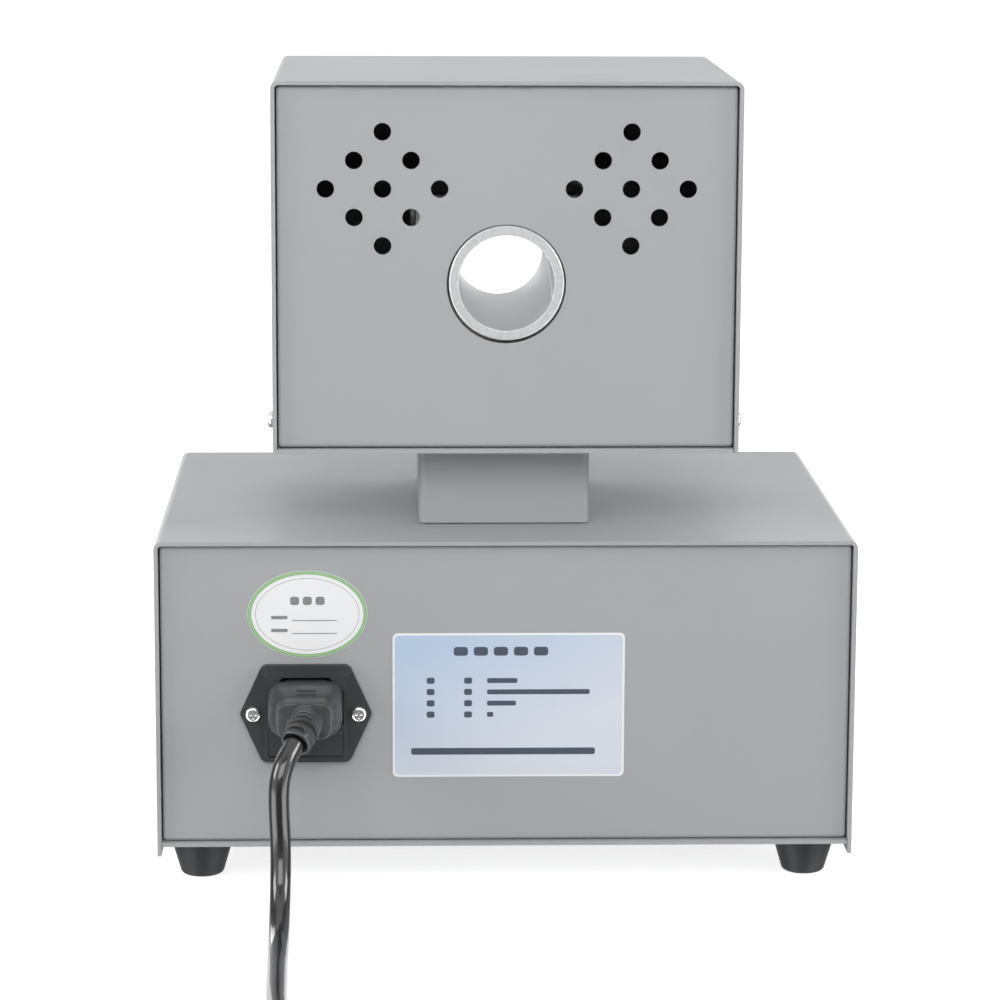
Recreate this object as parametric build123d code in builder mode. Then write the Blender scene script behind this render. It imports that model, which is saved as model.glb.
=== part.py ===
from build123d import *
from dataclasses import dataclass
import math
import os

os.makedirs("parts", exist_ok=True)

# The machine's controls face -Y. Its mains inlet, labels and vent holes face +Y.
# The origin is on the surface that it stands on, below the middle of its base.

# Sheet metal
sheet = 1.5  # covers and panels
floor_sheet = 1.5  # the two bottom plates
cover_bend = 3.0  # outside radius of a cover's bends
panel_bend = 1.6  # outside radius of a panel's turned-in edges
panel_flange = 12.0  # depth of a panel's turned-in edges
panel_recess = 2.5  # a panel lies this far inside its cover's edge
panel_side_gap = 0.5  # dark gap between a panel and the cover's side
base_panel_floor_gap = 0.2  # fine line between a base panel and the bottom plate
upper_panel_floor_gap = 0.4
floor_flange = 14.0  # height of a bottom plate's turned-up sides
floor_flange_inset = 16.0  # the turned-up sides stop this far from the plate's ends
fit = 0.3  # clearance between pieces that lie side by side
running = 0.05  # radial clearance of a pin in its hole, and of a thread in its hole

# Base box
base_width = 265.2
base_depth = 195.0
base_top = 134.6
base_skirt = 12.6  # lower edge of the cover's sides
base_floor = 16.2  # underside of the bottom plate

# Heater box on its post
upper_width = 176.0
upper_depth = 146.0
upper_setback = 13.1  # its rear edge lies this far in front of the base's rear edge
upper_top = 305.9
upper_skirt = 165.6
upper_floor = 166.0

post_width = 65.4
post_depth = 100.0
post_setback = 21.9  # from the heater box's rear edge to the post's rear face
post_wall = 2.0
post_corner = 2.5
post_end_plate = 3.0
post_foot_gap = 0.5  # the walls stop this far above the base
through = 14.0  # depth of a bore that passes right through an ear or an end plate

# Heating tube
tube_z = 230.4
tube_outer = 43.5
tube_bore = 36.0
tube_length = 109.0
tube_chamfer = 0.8
tube_gap = 0.68  # open ring round the tube's end in the rear panel
tube_hole_x = 0.1  # the hole's middle lies this far towards +X from the tube's
tube_hole_drop = 0.42  # and this far below it

# Band heater
band_thickness = 3.4
band_length = 74.0
band_start = 16.0  # from the tube's rear end to the band
band_slit = 3.0
band_ear_thickness = 1.6
band_ear_height = 11.0
band_ear_length = 20.0
band_ear_hole_inset = 3.5  # from the ears' upper edge
heater_lead_inset = 30.0  # from the band's rear end

# Insulation round the heater
block_width = 65.6
block_x = 1.2  # the block's middle: its -X side keeps clear of the vent holes
block_height = 58.0
block_start = 6.0  # from the tube's rear end to the block
block_length = 101.0
block_slot_width = 18.0
block_slot_length = 30.0
block_seam = 0.1

# Saddle and straps that carry the insulation
saddle_length = 85.0
saddle_half_width = 50.0
saddle_foot = 12.0
strap_width = 14.0
strap_ear = 11.0
strap_spread = 55.0
strap_screw_x = block_width / 2 + strap_ear / 2 + sheet
bracket_bend = 1.0  # inside radius of the saddle's and the straps' bends
saddle_screw_length = 4.0
strap_screw_length = 5.0
clamp_screw_spare = 3.0  # length of the clamp's screw past its ears

# Front sleeve
sleeve_gap = 2.55  # between the tube and the sleeve
sleeve_wall = 1.5
sleeve_rim = 8.0  # from the bore to the flange's edge
sleeve_flange_thickness = 2.0
sleeve_screw_inset = 4.5  # from the bore to the screws' middle
sleeve_screw_count = 3
sleeve_edge = 0.8

# Vent holes
vent_diameter = 6.6
vent_x = 46.5
vent_z = 265.7
vent_reach = 21.3  # from the middle hole to the diamond's corners

# Feet
foot_side_inset = 16.0  # from the base's sides
foot_inset = 22.0  # from the base's ends
foot_top = 25.5
foot_bottom = 16.0
foot_edge = 2.0
foot_hole = 7.6
foot_hole_depth = 9.0

# Screws
cover_screw_head = 6.6
cover_screw_rise = 2.4
cover_screw_length = 6.0
small_thread = 3.0
small_screw_length = 7.0
foot_thread = 4.0
foot_screw_length = 14.0
foot_screw_head = 6.8
foot_screw_rise = 2.4
small_nut_flats = 5.5
small_nut_height = 2.4
foot_nut_flats = 7.0
foot_nut_height = 3.2
head_rounding = 0.6  # share of a head's height that its edge is rounded by
cross_length = 0.55  # share of a head's diameter
cross_width = 0.12
hole_play = 0.2  # radial play of a screw in a plain hole
base_screw_y = 34.0
base_screw_z = 25.0
upper_screw_inset = 18.0
upper_screw_z = 176.3
base_panel_screw_x = 84.0
upper_panel_screw_x = 62.0
upper_panel_screw_inset = 8.5  # from a panel's face: out of sight below the plate
post_screw_x = 22.0
post_screw_reach = 38.0  # from the post's middle, along Y

small_head = 5.6
small_head_rise = 1.4

# Leads inside the machine
heater_lead_diameter = 5.0
signal_lead_diameter = 3.0
mains_lead_diameter = 5.0

# Thermocouple
probe_diameter = 3.0
probe_length = 26.0
probe_cap_diameter = 6.0
probe_cap_length = 9.0

# Grommets and the wires' way up through the post
grommet_bore = 15.0
grommet_groove = 20.0
grommet_flange = 25.0
grommet_lip = 1.5
post_wire_hole = 28.0

# Mains inlet
inlet_x = 75.8
inlet_z = 68.3
inlet_flange_width = 50.0
inlet_flange_flat = 33.0
inlet_flange_height = 37.8
inlet_flange_thickness = 2.5
inlet_corner = 3.0  # at the ends of its two flats
inlet_tip_corner = 1.5
inlet_screw_x = 20.0
inlet_screw_length = 9.0
inlet_screw_head = 5.8
inlet_screw_rise = 1.8
inlet_frame_width = 31.5
inlet_frame_height = 33.1
inlet_frame_rise = 1.5
inlet_frame_corner = 2.0
inlet_body_width = 30.4
inlet_body_height = 32.4
inlet_body_depth = 30.0
socket_z = 73.5
recess_width = 28.4
recess_low = 64.4
recess_high = 82.7
recess_corner = 5.3
recess_depth = 4.0
socket_width = 24.6
socket_height = 17.0
socket_corner = 4.6
socket_depth = 15.5
blade_thickness = 2.0
blade_width = 4.0
blade_length = 12.5
blade_spread = 7.0
earth_blade_rise = 4.0
tab_thickness = 0.8
tab_length = 8.0

# Fuse drawer
drawer_width = 27.7
drawer_low = 52.3
drawer_high = 62.4
drawer_front = 1.5
drawer_tray_width = 25.0
drawer_tray_height = 8.4
drawer_tray_depth = 23.0
fuse_diameter = 5.2
fuse_length = 20.0
fuse_cap = 5.0
fuse_pocket_wall = 2.0
fuse_pocket_floor = 1.2
fuse_glass_inset = 0.2
drawer_notch_width = 9.0
drawer_notch_depth = 0.8
drawer_notch_height = 1.3

# Mains connector and its strain relief
grip_start = 0.8  # gap between the inlet's frame and the grip
grip_step = 24.0
grip_end = 29.0
grip_block_width = 21.0
grip_block_height = 14.2
grip_corner = 4.5
grip_sections = (  # distance from the frame, width, height, rise of the section's middle
    (grip_start, 26.9, 17.8, -0.9),
    (7.0, 27.7, 19.2, -0.2),
    (18.0, 26.9, 18.3, -0.5),
    (grip_step, 22.4, 15.6, -0.3),
)
grip_block_drop = 0.4  # the block's middle lies this far below the plug's
plug_fillet = 1.5
relief_start_diameter = 13.0
relief_end_diameter = 10.8
relief_straight = 8.0
relief_turn_radius = 23.0
relief_droop = 30.0  # degrees below level at the mouth
relief_lean = 28.0  # degrees towards +X at the mouth
relief_groove = 1.1
relief_groove_depth = 1.6
relief_groove_count = 6
relief_groove_reach = 0.35  # share of the radius that a groove lies to one side by
relief_groove_width = 1.6  # and the radii that it is wide
groove_overlap = 1.0  # a groove's cutter stands out of the surface by this

# Mains cord: a black round lead of 7.7 mm
cord_diameter = 7.7
floor_gap = 0.15  # between the cord and the surface that it lies on
first_run = 7.0  # straight length of the cord from the mouth
coil_radius = 50.0
coil_pitch = 8.4  # from one turn to the next, outwards and upwards
coil_x = 28.5
coil_y = 338.0
coil_z = 5.3  # the lower layer's middle: the tie passes under it
coil_in_quarters = 10
coil_out_quarters = 7
coil_tail = 16.0  # straight length from the last turn to the plug

# Tie round the coil
tie_thickness = 1.0
tie_width = 16.0
tie_angle = 205.0
tie_play = 0.6
tie_corner = 2.5

# Mains plug
plug_z = 19.3
plug_relief_length = 30.0
plug_relief_start = 10.4
plug_relief_end = 15.0
plug_body_diameter = 38.0
plug_body_length = 24.0
plug_neck_length = 14.0
plug_neck_diameter = 27.0
plug_pin_diameter = 4.8
plug_pin_length = 19.0
plug_pin_spread = 19.0

# Power switch
switch_x = 98.0
switch_z = 58.0
switch_rim_x = 1.85  # from the switch's body to its flange's edge
switch_rim_z = 1.6
switch_flange_thickness = 2.0
switch_wall_x = 1.15  # from the switch's mouth to its body's outside
switch_wall_z = 1.5
switch_body_depth = 22.0
switch_mouth_width = 19.6
switch_mouth_height = 25.0
switch_mouth_depth = 13.0
switch_corner = 1.5
switch_edge = 0.6
switch_tab = 8.0
switch_tab_x = 5.0
switch_tab_z = 8.0
switch_tab_thickness = 0.8
switch_tab_width = 4.8
rocker_pivot_depth = 2.0  # from the panel's face inwards
rocker_ridge = 5.5  # from the pivot to the middle of the rocker's face
rocker_back = 4.0
rocker_angle = 10.0  # tilt each way from the middle
rocker_pin = 3.0
rocker_pin_reach = 0.8

# Pilot lamp
lamp_x = 98.0
lamp_z = 96.0
lamp_thread = 9.8
lamp_bezel = 13.6
lamp_bezel_rise = 1.8
lamp_depth = 20.0
lamp_lens = 10.0
lamp_lens_rise = 4.6
lamp_bezel_edge = 0.7
lamp_lens_edge = 3.0
lamp_nut_flats = 14.0
lamp_nut_height = 2.5

# Keys of the two panel instruments
key_width = 9.0
key_height = 5.4
key_rise = 1.0
key_travel = 0.6
key_flange = 1.0
key_flange_edge = 1.2
key_edge = 0.5
bezel_rise = 5.0
bezel_face = 2.5
bezel_corner = 2.0
bezel_wall = 3.0
bezel_edge = 0.8
window_thickness = 2.0
window_inset = 0.5
board_thickness = 1.6
board_depth = 4.0  # from the panel's face to the board
case_wall = 2.0
clamp_width = 12.0
clamp_thickness = 3.0
display_edge = 2.0
button_size = 6.0
button_stem = 1.0
button_stem_diameter = 3.4
rear_terminal_depth = 6.0
rear_terminal_height = 12.0

# Things that stand on the base's bottom plate
heatsink_x = -72.0
heatsink_y = 42.0
heatsink_width = 74.0
heatsink_depth = 62.0
heatsink_plate = 4.0
heatsink_fin = 1.6
heatsink_fin_height = 14.0
heatsink_fin_count = 9
relay_width = 45.0
relay_depth = 58.0
relay_height = 22.5
relay_corner = 2.0
relay_step_drop = 6.0
relay_step_depth = 9.0
relay_step_margin = 4.0
relay_screw_x = 12.0
relay_screw_diameter = 7.2
relay_screw_height = 3.0
terminal_x = 22.0
terminal_y = 44.0
terminal_pitch = 10.5
terminal_ways = 5
terminal_depth = 20.0
terminal_height = 17.0
terminal_row_spread = 10.0
terminal_well_diameter = 6.0
terminal_well_depth = 4.0
terminal_screw_diameter = 4.8
terminal_screw_height = 2.4
earth_x = 112.0
earth_y = 40.0
earth_stud_height = 18.0
earth_nut_rise = 6.0  # from the lower nut to the upper one

# Labels
label_thickness = 0.2
plate_label_x = -1.0
plate_label_z = 70.9
plate_label_width = 88.0
plate_label_height = 56.0
plate_label_corner = 2.0
oval_label_x = 75.1
oval_label_z = 106.4
oval_label_width = 45.2
oval_label_height = 33.6

# Sizes and places that follow from the ones above
tube_hole = tube_outer + 2 * tube_gap
sleeve_bore = tube_outer + 2 * sleeve_gap
sleeve_flange = sleeve_bore + 2 * sleeve_rim
sleeve_screw_circle = sleeve_bore + 2 * sleeve_screw_inset
foot_x = base_width / 2 - foot_side_inset
switch_body_width = switch_mouth_width + 2 * switch_wall_x
switch_body_height = switch_mouth_height + 2 * switch_wall_z
switch_flange_width = switch_body_width + 2 * switch_rim_x
switch_flange_height = switch_body_height + 2 * switch_rim_z
rear = base_depth / 2
base_face = rear - panel_recess
base_deck = base_floor + floor_sheet
upper_rear = rear - upper_setback
upper_front = upper_rear - upper_depth
upper_y = (upper_rear + upper_front) / 2
upper_rear_face = upper_rear - panel_recess
upper_front_face = upper_front + panel_recess
upper_deck = upper_floor + floor_sheet
post_y = upper_rear - post_setback - post_depth / 2
tube_rear = upper_rear_face
tube_front = tube_rear - tube_length
band_rear = tube_rear - band_start
band_front = band_rear - band_length
band_inner = tube_outer / 2 + running
band_outer = band_inner + band_thickness
block_rear = tube_rear - block_start
block_front = block_rear - block_length
block_y = (block_rear + block_front) / 2
block_low = tube_z - block_height / 2
block_high = tube_z + block_height / 2
ear_y = block_y
probe_tip = tube_outer / 2 + 2 * running
inlet_face = base_face + inlet_flange_thickness
frame_face = inlet_face + inlet_frame_rise
socket_floor = frame_face - socket_depth
relief_y = frame_face + grip_start + grip_end

pieces = []


def keep(builder, name):
    """Labels a finished piece and adds it to the ones that are written."""
    builder.part.label = name
    pieces.append(builder)


def cover_profile(width, low, high):
    """Draws an upside-down U of sheet with rounded bends, in a sketch on XZ."""
    half = width / 2 - sheet
    with BuildLine() as bent:
        FilletPolyline(
            (-half, low), (-half, high - sheet), (half, high - sheet), (half, low), radius=cover_bend - sheet
        )
        offset(amount=sheet, side=Side.LEFT)
    add(bent.line)
    make_face()


def cut_holes(places, diameter, depth=10.0):
    """Cuts a round hole through the current part at each plane, along its normal."""
    with Locations(*places):
        Cylinder(diameter / 2, depth, mode=Mode.SUBTRACT)


def panel_pan(width, low, high, middle_x, face, inward):
    """Adds a panel with four turned-in edges: face is its outside, inward is 1 or -1 along Y."""
    middle_z = (low + high) / 2
    with Locations((middle_x, face + inward * panel_flange / 2, middle_z)):
        pan = Box(width, panel_flange, high - low)
    outside = pan.faces().sort_by(Axis.Y)[0 if inward > 0 else -1]
    fillet(outside.edges() + pan.edges().filter_by(Axis.Y), panel_bend)
    with Locations((middle_x, face + inward * (panel_flange + sheet) / 2, middle_z)):
        Box(width - 2 * sheet, panel_flange - sheet, high - low - 2 * sheet, mode=Mode.SUBTRACT)


def pan_head_screw(thread, length, head, rise):
    """A cross-recessed screw, its head on the plane z = 0 and its shank below."""
    with BuildPart() as screw:
        Cylinder(head / 2, rise, align=(Align.CENTER, Align.CENTER, Align.MIN))
        fillet(screw.edges().sort_by(Axis.Z)[-1], head_rounding * rise)
        Cylinder(thread / 2, length, align=(Align.CENTER, Align.CENTER, Align.MAX))
        with Locations((0, 0, rise)):
            Box(cross_length * head, cross_width * head, rise, mode=Mode.SUBTRACT)
            Box(cross_width * head, cross_length * head, rise, mode=Mode.SUBTRACT)
    return screw.part


def hex_nut(thread, across, height):
    """A nut that stands on the plane z = 0."""
    with BuildPart() as nut:
        with BuildSketch():
            RegularPolygon(across / 2, 6, major_radius=False)
            Circle(thread / 2 + running, mode=Mode.SUBTRACT)
        extrude(amount=height)
    return nut.part


def facing(x, y, z, direction):
    """A plane at a place, whose normal points in a direction. On an upright plane, Y of its sketch is up."""
    level = (-direction[1], direction[0], 0) if direction[2] == 0 else (1, 0, 0)
    return Plane(origin=(x, y, z), x_dir=level, z_dir=direction)


def route_radii(route):
    """The arc at each corner of a route: 0.45 of the shorter run over the tangent of half the turn."""
    radii = []
    for before, here, after in zip(route, route[1:], route[2:]):
        arriving = Vector(*here) - Vector(*before)
        leaving = Vector(*after) - Vector(*here)
        half_turn = math.radians(arriving.get_angle(leaving)) / 2
        radii.append(0.45 * min(arriving.length, leaving.length) / math.tan(half_turn))
    return radii


def tube_along(route, diameter):
    """Sweeps a round tube along straight runs joined by tangent arcs, and returns the path's length."""
    with BuildLine() as path:
        FilletPolyline(*route, radius=route_radii(route))
    spine = path.wire()
    with BuildSketch(Plane(origin=route[0], z_dir=spine % 0)) as section:
        Circle(diameter / 2)
    sweep(section.sketch, path=spine)
    return spine.length


# Screws and nuts of the whole machine
small_screw = pan_head_screw(small_thread, small_screw_length, small_head, small_head_rise)
cover_screw = pan_head_screw(small_thread, cover_screw_length, cover_screw_head, cover_screw_rise)
foot_screw = pan_head_screw(foot_thread, foot_screw_length, foot_screw_head, foot_screw_rise)
small_nut = hex_nut(small_thread, small_nut_flats, small_nut_height)
foot_nut = hex_nut(foot_thread, foot_nut_flats, foot_nut_height)

down = (0, 0, -1)
up = (0, 0, 1)
standing = (Align.CENTER, Align.CENTER, Align.MIN)
behind = (Align.CENTER, Align.MIN, Align.CENTER)
before = (Align.CENTER, Align.MAX, Align.CENTER)
sides = (-1, 1)
feet_places = [(sx * foot_x, sy * (rear - foot_inset)) for sx in sides for sy in sides]
base_screw_places = [
    facing(s * base_width / 2, y, base_screw_z, (s, 0, 0))
    for s in sides
    for y in (-base_screw_y, base_screw_y)
]
upper_screw_places = [
    facing(s * upper_width / 2, y, upper_screw_z, (s, 0, 0))
    for s in sides
    for y in (upper_rear - upper_screw_inset, upper_front + upper_screw_inset)
]
base_panel_places = [
    facing(s * base_panel_screw_x, t * (base_face - panel_flange / 2), base_floor, down)
    for s in sides
    for t in sides
]
upper_panel_places = [
    facing(s * upper_panel_screw_x, y, upper_floor, down)
    for s in sides
    for y in (upper_rear_face - upper_panel_screw_inset, upper_front_face + upper_panel_screw_inset)
]
post_xy = [(s * post_screw_x, post_y + t * post_screw_reach) for s in sides for t in sides]
lower_post_places = [facing(x, y, base_top - sheet, down) for x, y in post_xy]
upper_post_places = [facing(x, y, upper_deck, up) for x, y in post_xy]

# Base cover: top and two sides in one bent sheet
with BuildPart() as base_cover:
    with BuildSketch(Plane.XZ):
        cover_profile(base_width, base_skirt, base_top)
    extrude(amount=rear, both=True)
    cut_holes(base_screw_places, small_thread + 2 * hole_play)
    cut_holes(lower_post_places, small_thread + 2 * hole_play)
    cut_holes([facing(0, post_y, base_top, up)], grommet_groove)
keep(base_cover, "base_cover")

# Base bottom plate with turned-up sides
with BuildPart() as base_bottom_plate:
    plate_half = base_width / 2 - sheet - fit
    with Locations((0, 0, base_floor)):
        Box(2 * plate_half, base_depth - 2 * fit, floor_sheet, align=(Align.CENTER, Align.CENTER, Align.MIN))
    for s in sides:
        with Locations((s * (plate_half - floor_sheet / 2), 0, base_floor)):
            Box(
                floor_sheet,
                base_depth - 2 * floor_flange_inset,
                floor_flange,
                align=(Align.CENTER, Align.CENTER, Align.MIN),
            )
    cut_holes(base_screw_places, small_thread + 2 * running)
    cut_holes(base_panel_places, small_thread + 2 * hole_play)
    cut_holes([facing(x, y, base_floor, up) for x, y in feet_places], foot_thread + 2 * hole_play)
keep(base_bottom_plate, "base_bottom_plate")

# Base rear panel with the inlet's cut-out
base_panel_width = base_width - 2 * sheet - 2 * panel_side_gap
with BuildPart() as base_rear_panel:
    panel_pan(base_panel_width, base_deck + base_panel_floor_gap, base_top - sheet - fit, 0, base_face, -1)
    with Locations((inlet_x, base_face, inlet_z)):
        Box(inlet_body_width + 2 * fit, 4 * sheet, inlet_body_height + 2 * fit, mode=Mode.SUBTRACT)
    cut_holes(
        [facing(inlet_x + s * inlet_screw_x, base_face, inlet_z, (0, 1, 0)) for s in sides],
        small_thread + 2 * hole_play,
    )
    cut_holes(base_panel_places[1::2], small_thread + 2 * running)
keep(base_rear_panel, "base_rear_panel")


@dataclass
class Instrument:
    """A square panel instrument: its case passes through the front panel behind its bezel."""

    name: str
    x: float
    z: float
    size: float
    cutout: float
    depth: float
    window_width: float
    window_height: float
    window_rise: float
    key_drop: float
    key_count: int
    key_pitch: float

    @property
    def window_z(self):
        return self.z + self.window_rise

    @property
    def key_z(self):
        return self.z - self.key_drop

    @property
    def key_xs(self):
        middle = (self.key_count - 1) / 2
        return [self.x + (number - middle) * self.key_pitch for number in range(self.key_count)]


thermostat = Instrument("thermostat", -72.0, 77.0, 72.0, 67.6, 74.0, 56.0, 34.0, 9.5, 22.0, 4, 14.6)
timer = Instrument("timer", 18.0, 77.0, 60.0, 55.6, 62.0, 46.0, 25.0, 9.0, 17.5, 3, 15.0)
instruments = (thermostat, timer)

# Base front panel with cut-outs for the instruments, the switch and the lamp
with BuildPart() as base_front_panel:
    panel_pan(base_panel_width, base_deck + base_panel_floor_gap, base_top - sheet - fit, 0, -base_face, 1)
    for unit in instruments:
        with Locations((unit.x, -base_face, unit.z)):
            Box(unit.cutout + 2 * fit, 4 * sheet, unit.cutout + 2 * fit, mode=Mode.SUBTRACT)
    with Locations((switch_x, -base_face, switch_z)):
        Box(switch_body_width + 2 * fit, 4 * sheet, switch_body_height + 2 * fit, mode=Mode.SUBTRACT)
    cut_holes([facing(lamp_x, -base_face, lamp_z, (0, 1, 0))], lamp_thread + 2 * hole_play)
    cut_holes(base_panel_places[0::2], small_thread + 2 * running)
keep(base_front_panel, "base_front_panel")

# Rubber feet, each a cone with a hole for its screw
with BuildPart() as rubber_feet:
    for x, y in feet_places:
        foot_plane = Plane(origin=(x, y, 0), x_dir=(1, 0, 0), z_dir=(0, -1, 0))
        with BuildSketch(foot_plane):
            with BuildLine():
                Polyline(
                    (foot_hole / 2, 0), (foot_bottom / 2, 0), (foot_top / 2, base_floor),
                    (foot_thread / 2 + hole_play, base_floor), (foot_thread / 2 + hole_play, foot_hole_depth),
                    (foot_hole / 2, foot_hole_depth), close=True,
                )
            make_face()
        revolve(axis=Axis((x, y, 0), (0, 0, 1)))
    circles = rubber_feet.edges().filter_by(GeomType.CIRCLE)
    rim = circles.filter_by(lambda edge: abs(edge.radius - foot_bottom / 2) < 0.01)
    fillet(rim, foot_edge)
keep(rubber_feet, "rubber_feet")

with BuildPart() as foot_screws:
    with Locations(*[facing(x, y, foot_hole_depth, down) for x, y in feet_places]):
        add(foot_screw)
keep(foot_screws, "foot_screws")

with BuildPart() as cover_screws:
    with Locations(*base_screw_places, *upper_screw_places):
        add(cover_screw)
keep(cover_screws, "cover_screws")

# Post: a hollow rectangle with an end plate at its foot and its head
with BuildPart() as post:
    for low, high, solid in (
        (base_top + post_foot_gap, upper_floor, False),
        (base_top, base_top + post_end_plate, True),
        (upper_floor - post_end_plate, upper_floor, True),
    ):
        with BuildSketch(Plane.XY.offset(low)):
            with Locations((0, post_y)):
                if solid:
                    RectangleRounded(post_width - 2 * post_wall, post_depth - 2 * post_wall, post_corner)
                    Circle(post_wire_hole / 2, mode=Mode.SUBTRACT)
                else:
                    RectangleRounded(post_width, post_depth, post_corner)
                    Rectangle(
                        post_width - 2 * post_wall, post_depth - 2 * post_wall, mode=Mode.SUBTRACT
                    )
        extrude(amount=high - low)
    cut_holes(lower_post_places + upper_post_places, small_thread + 2 * running, depth=through)
keep(post, "post")

# Rubber grommets where the wires pass the two sheets
with BuildPart() as wire_grommets:
    for middle, thickness in ((base_top - sheet / 2, sheet), (upper_floor + floor_sheet / 2, floor_sheet)):
        with BuildSketch(Plane(origin=(0, post_y, middle), x_dir=(1, 0, 0), z_dir=(0, -1, 0))):
            with BuildLine():
                groove = thickness / 2 + running
                Polyline(
                    (grommet_bore / 2, -groove - grommet_lip), (grommet_flange / 2, -groove - grommet_lip),
                    (grommet_flange / 2, -groove), (grommet_groove / 2 - running, -groove),
                    (grommet_groove / 2 - running, groove), (grommet_flange / 2, groove),
                    (grommet_flange / 2, groove + grommet_lip), (grommet_bore / 2, groove + grommet_lip),
                    close=True,
                )
            make_face()
        revolve(axis=Axis((0, post_y, 0), (0, 0, 1)))
keep(wire_grommets, "wire_grommets")

# Heater box cover
with BuildPart() as upper_cover:
    with BuildSketch(Plane.XZ.offset(-upper_y)):
        cover_profile(upper_width, upper_skirt, upper_top)
    extrude(amount=upper_depth / 2, both=True)
    cut_holes(upper_screw_places, small_thread + 2 * hole_play)
keep(upper_cover, "upper_cover")

saddle_places = [
    facing(s * (saddle_half_width + saddle_foot / 2), block_y + t * saddle_length / 3, upper_deck + sheet, up)
    for s in sides
    for t in sides
]

# Heater box bottom plate
with BuildPart() as upper_bottom_plate:
    plate_half = upper_width / 2 - sheet - fit
    with Locations((0, upper_y, upper_floor)):
        Box(2 * plate_half, upper_depth - 2 * fit, floor_sheet, align=(Align.CENTER, Align.CENTER, Align.MIN))
    for s in sides:
        with Locations((s * (plate_half - floor_sheet / 2), upper_y, upper_floor)):
            Box(
                floor_sheet,
                upper_depth - 2 * floor_flange_inset,
                floor_flange,
                align=(Align.CENTER, Align.CENTER, Align.MIN),
            )
    cut_holes(upper_screw_places, small_thread + 2 * running)
    cut_holes(upper_panel_places, small_thread + 2 * hole_play)
    cut_holes(upper_post_places, small_thread + 2 * hole_play)
    cut_holes(saddle_places, small_thread + 2 * running)
    cut_holes([facing(0, post_y, upper_deck, up)], grommet_groove)
keep(upper_bottom_plate, "upper_bottom_plate")

# Heater box rear panel: two diamonds of nine vent holes and the hole for the tube
upper_panel_width = upper_width - 2 * sheet - 2 * panel_side_gap
upper_panel_low = upper_deck + upper_panel_floor_gap
upper_panel_high = upper_top - sheet - fit
vent_steps = [(0, 0)]
for step in (1, 2):
    for sx, sz in ((1, 1), (1, -1), (-1, 1), (-1, -1)):
        corner = (sx * step, 0) if sz > 0 else (0, sx * step)
        vent_steps.append((sx, sz) if step == 1 else corner)
vent_places = [
    facing(s * vent_x + i * vent_reach / 2, upper_rear_face, vent_z + k * vent_reach / 2, (0, 1, 0))
    for s in sides
    for i, k in vent_steps
]
with BuildPart() as upper_rear_panel:
    panel_pan(upper_panel_width, upper_panel_low, upper_panel_high, 0, upper_rear_face, -1)
    cut_holes(vent_places, vent_diameter, depth=4 * sheet)
    tube_hole_place = facing(tube_hole_x, upper_rear_face, tube_z - tube_hole_drop, (0, 1, 0))
    cut_holes([tube_hole_place], tube_hole, depth=4 * sheet)
    cut_holes(upper_panel_places[0::2], small_thread + 2 * running)
keep(upper_rear_panel, "upper_rear_panel")

sleeve_places = []
for number in range(sleeve_screw_count):
    turn = math.radians(90 + number * 360 / sleeve_screw_count)
    sleeve_places.append(
        facing(
            sleeve_screw_circle / 2 * math.cos(turn),
            upper_front_face - sleeve_flange_thickness,
            tube_z + sleeve_screw_circle / 2 * math.sin(turn),
            (0, -1, 0),
        )
    )

# Heater box front panel
with BuildPart() as upper_front_panel:
    panel_pan(upper_panel_width, upper_panel_low, upper_panel_high, 0, upper_front_face, 1)
    sleeve_hole = sleeve_bore + 2 * sleeve_wall + 2 * fit
    cut_holes([facing(0, upper_front_face, tube_z, (0, 1, 0))], sleeve_hole, depth=4 * sheet)
    cut_holes(sleeve_places, small_thread + 2 * running, depth=4 * sheet + 2 * sleeve_flange_thickness)
    cut_holes(upper_panel_places[1::2], small_thread + 2 * running)
keep(upper_front_panel, "upper_front_panel")

# Heating tube, open at both ends
with BuildPart() as heater_tube:
    with BuildSketch(facing(0, tube_front, tube_z, (0, 1, 0))):
        Circle(tube_outer / 2)
        Circle(tube_bore / 2, mode=Mode.SUBTRACT)
    extrude(amount=tube_length)
    chamfer(heater_tube.edges().filter_by(GeomType.CIRCLE), tube_chamfer)
keep(heater_tube, "heater_tube")

# Band heater: a slit ring clamped by two ears
with BuildPart() as band_heater:
    with BuildSketch(facing(0, band_front, tube_z, (0, 1, 0))):
        Circle(band_outer)
        Circle(band_inner, mode=Mode.SUBTRACT)
    extrude(amount=band_length)
    with Locations((0, (band_front + band_rear) / 2, tube_z + band_outer)):
        Box(band_slit, band_length, 3 * band_thickness, mode=Mode.SUBTRACT)
    for s in sides:
        with Locations((s * (band_slit + band_ear_thickness) / 2, ear_y, tube_z + band_inner)):
            Box(
                band_ear_thickness,
                band_ear_length,
                band_ear_height,
                align=(Align.CENTER, Align.CENTER, Align.MIN),
            )
    with Locations((0, (band_front + band_rear) / 2, tube_z)):
        Cylinder(band_inner, band_length, rotation=(90, 0, 0), mode=Mode.SUBTRACT)
    ear_hole_z = tube_z + band_inner + band_ear_height - band_ear_hole_inset
    cut_holes([facing(0, ear_y, ear_hole_z, (1, 0, 0))], small_thread + 2 * running, depth=through)
keep(band_heater, "band_heater")

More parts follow.
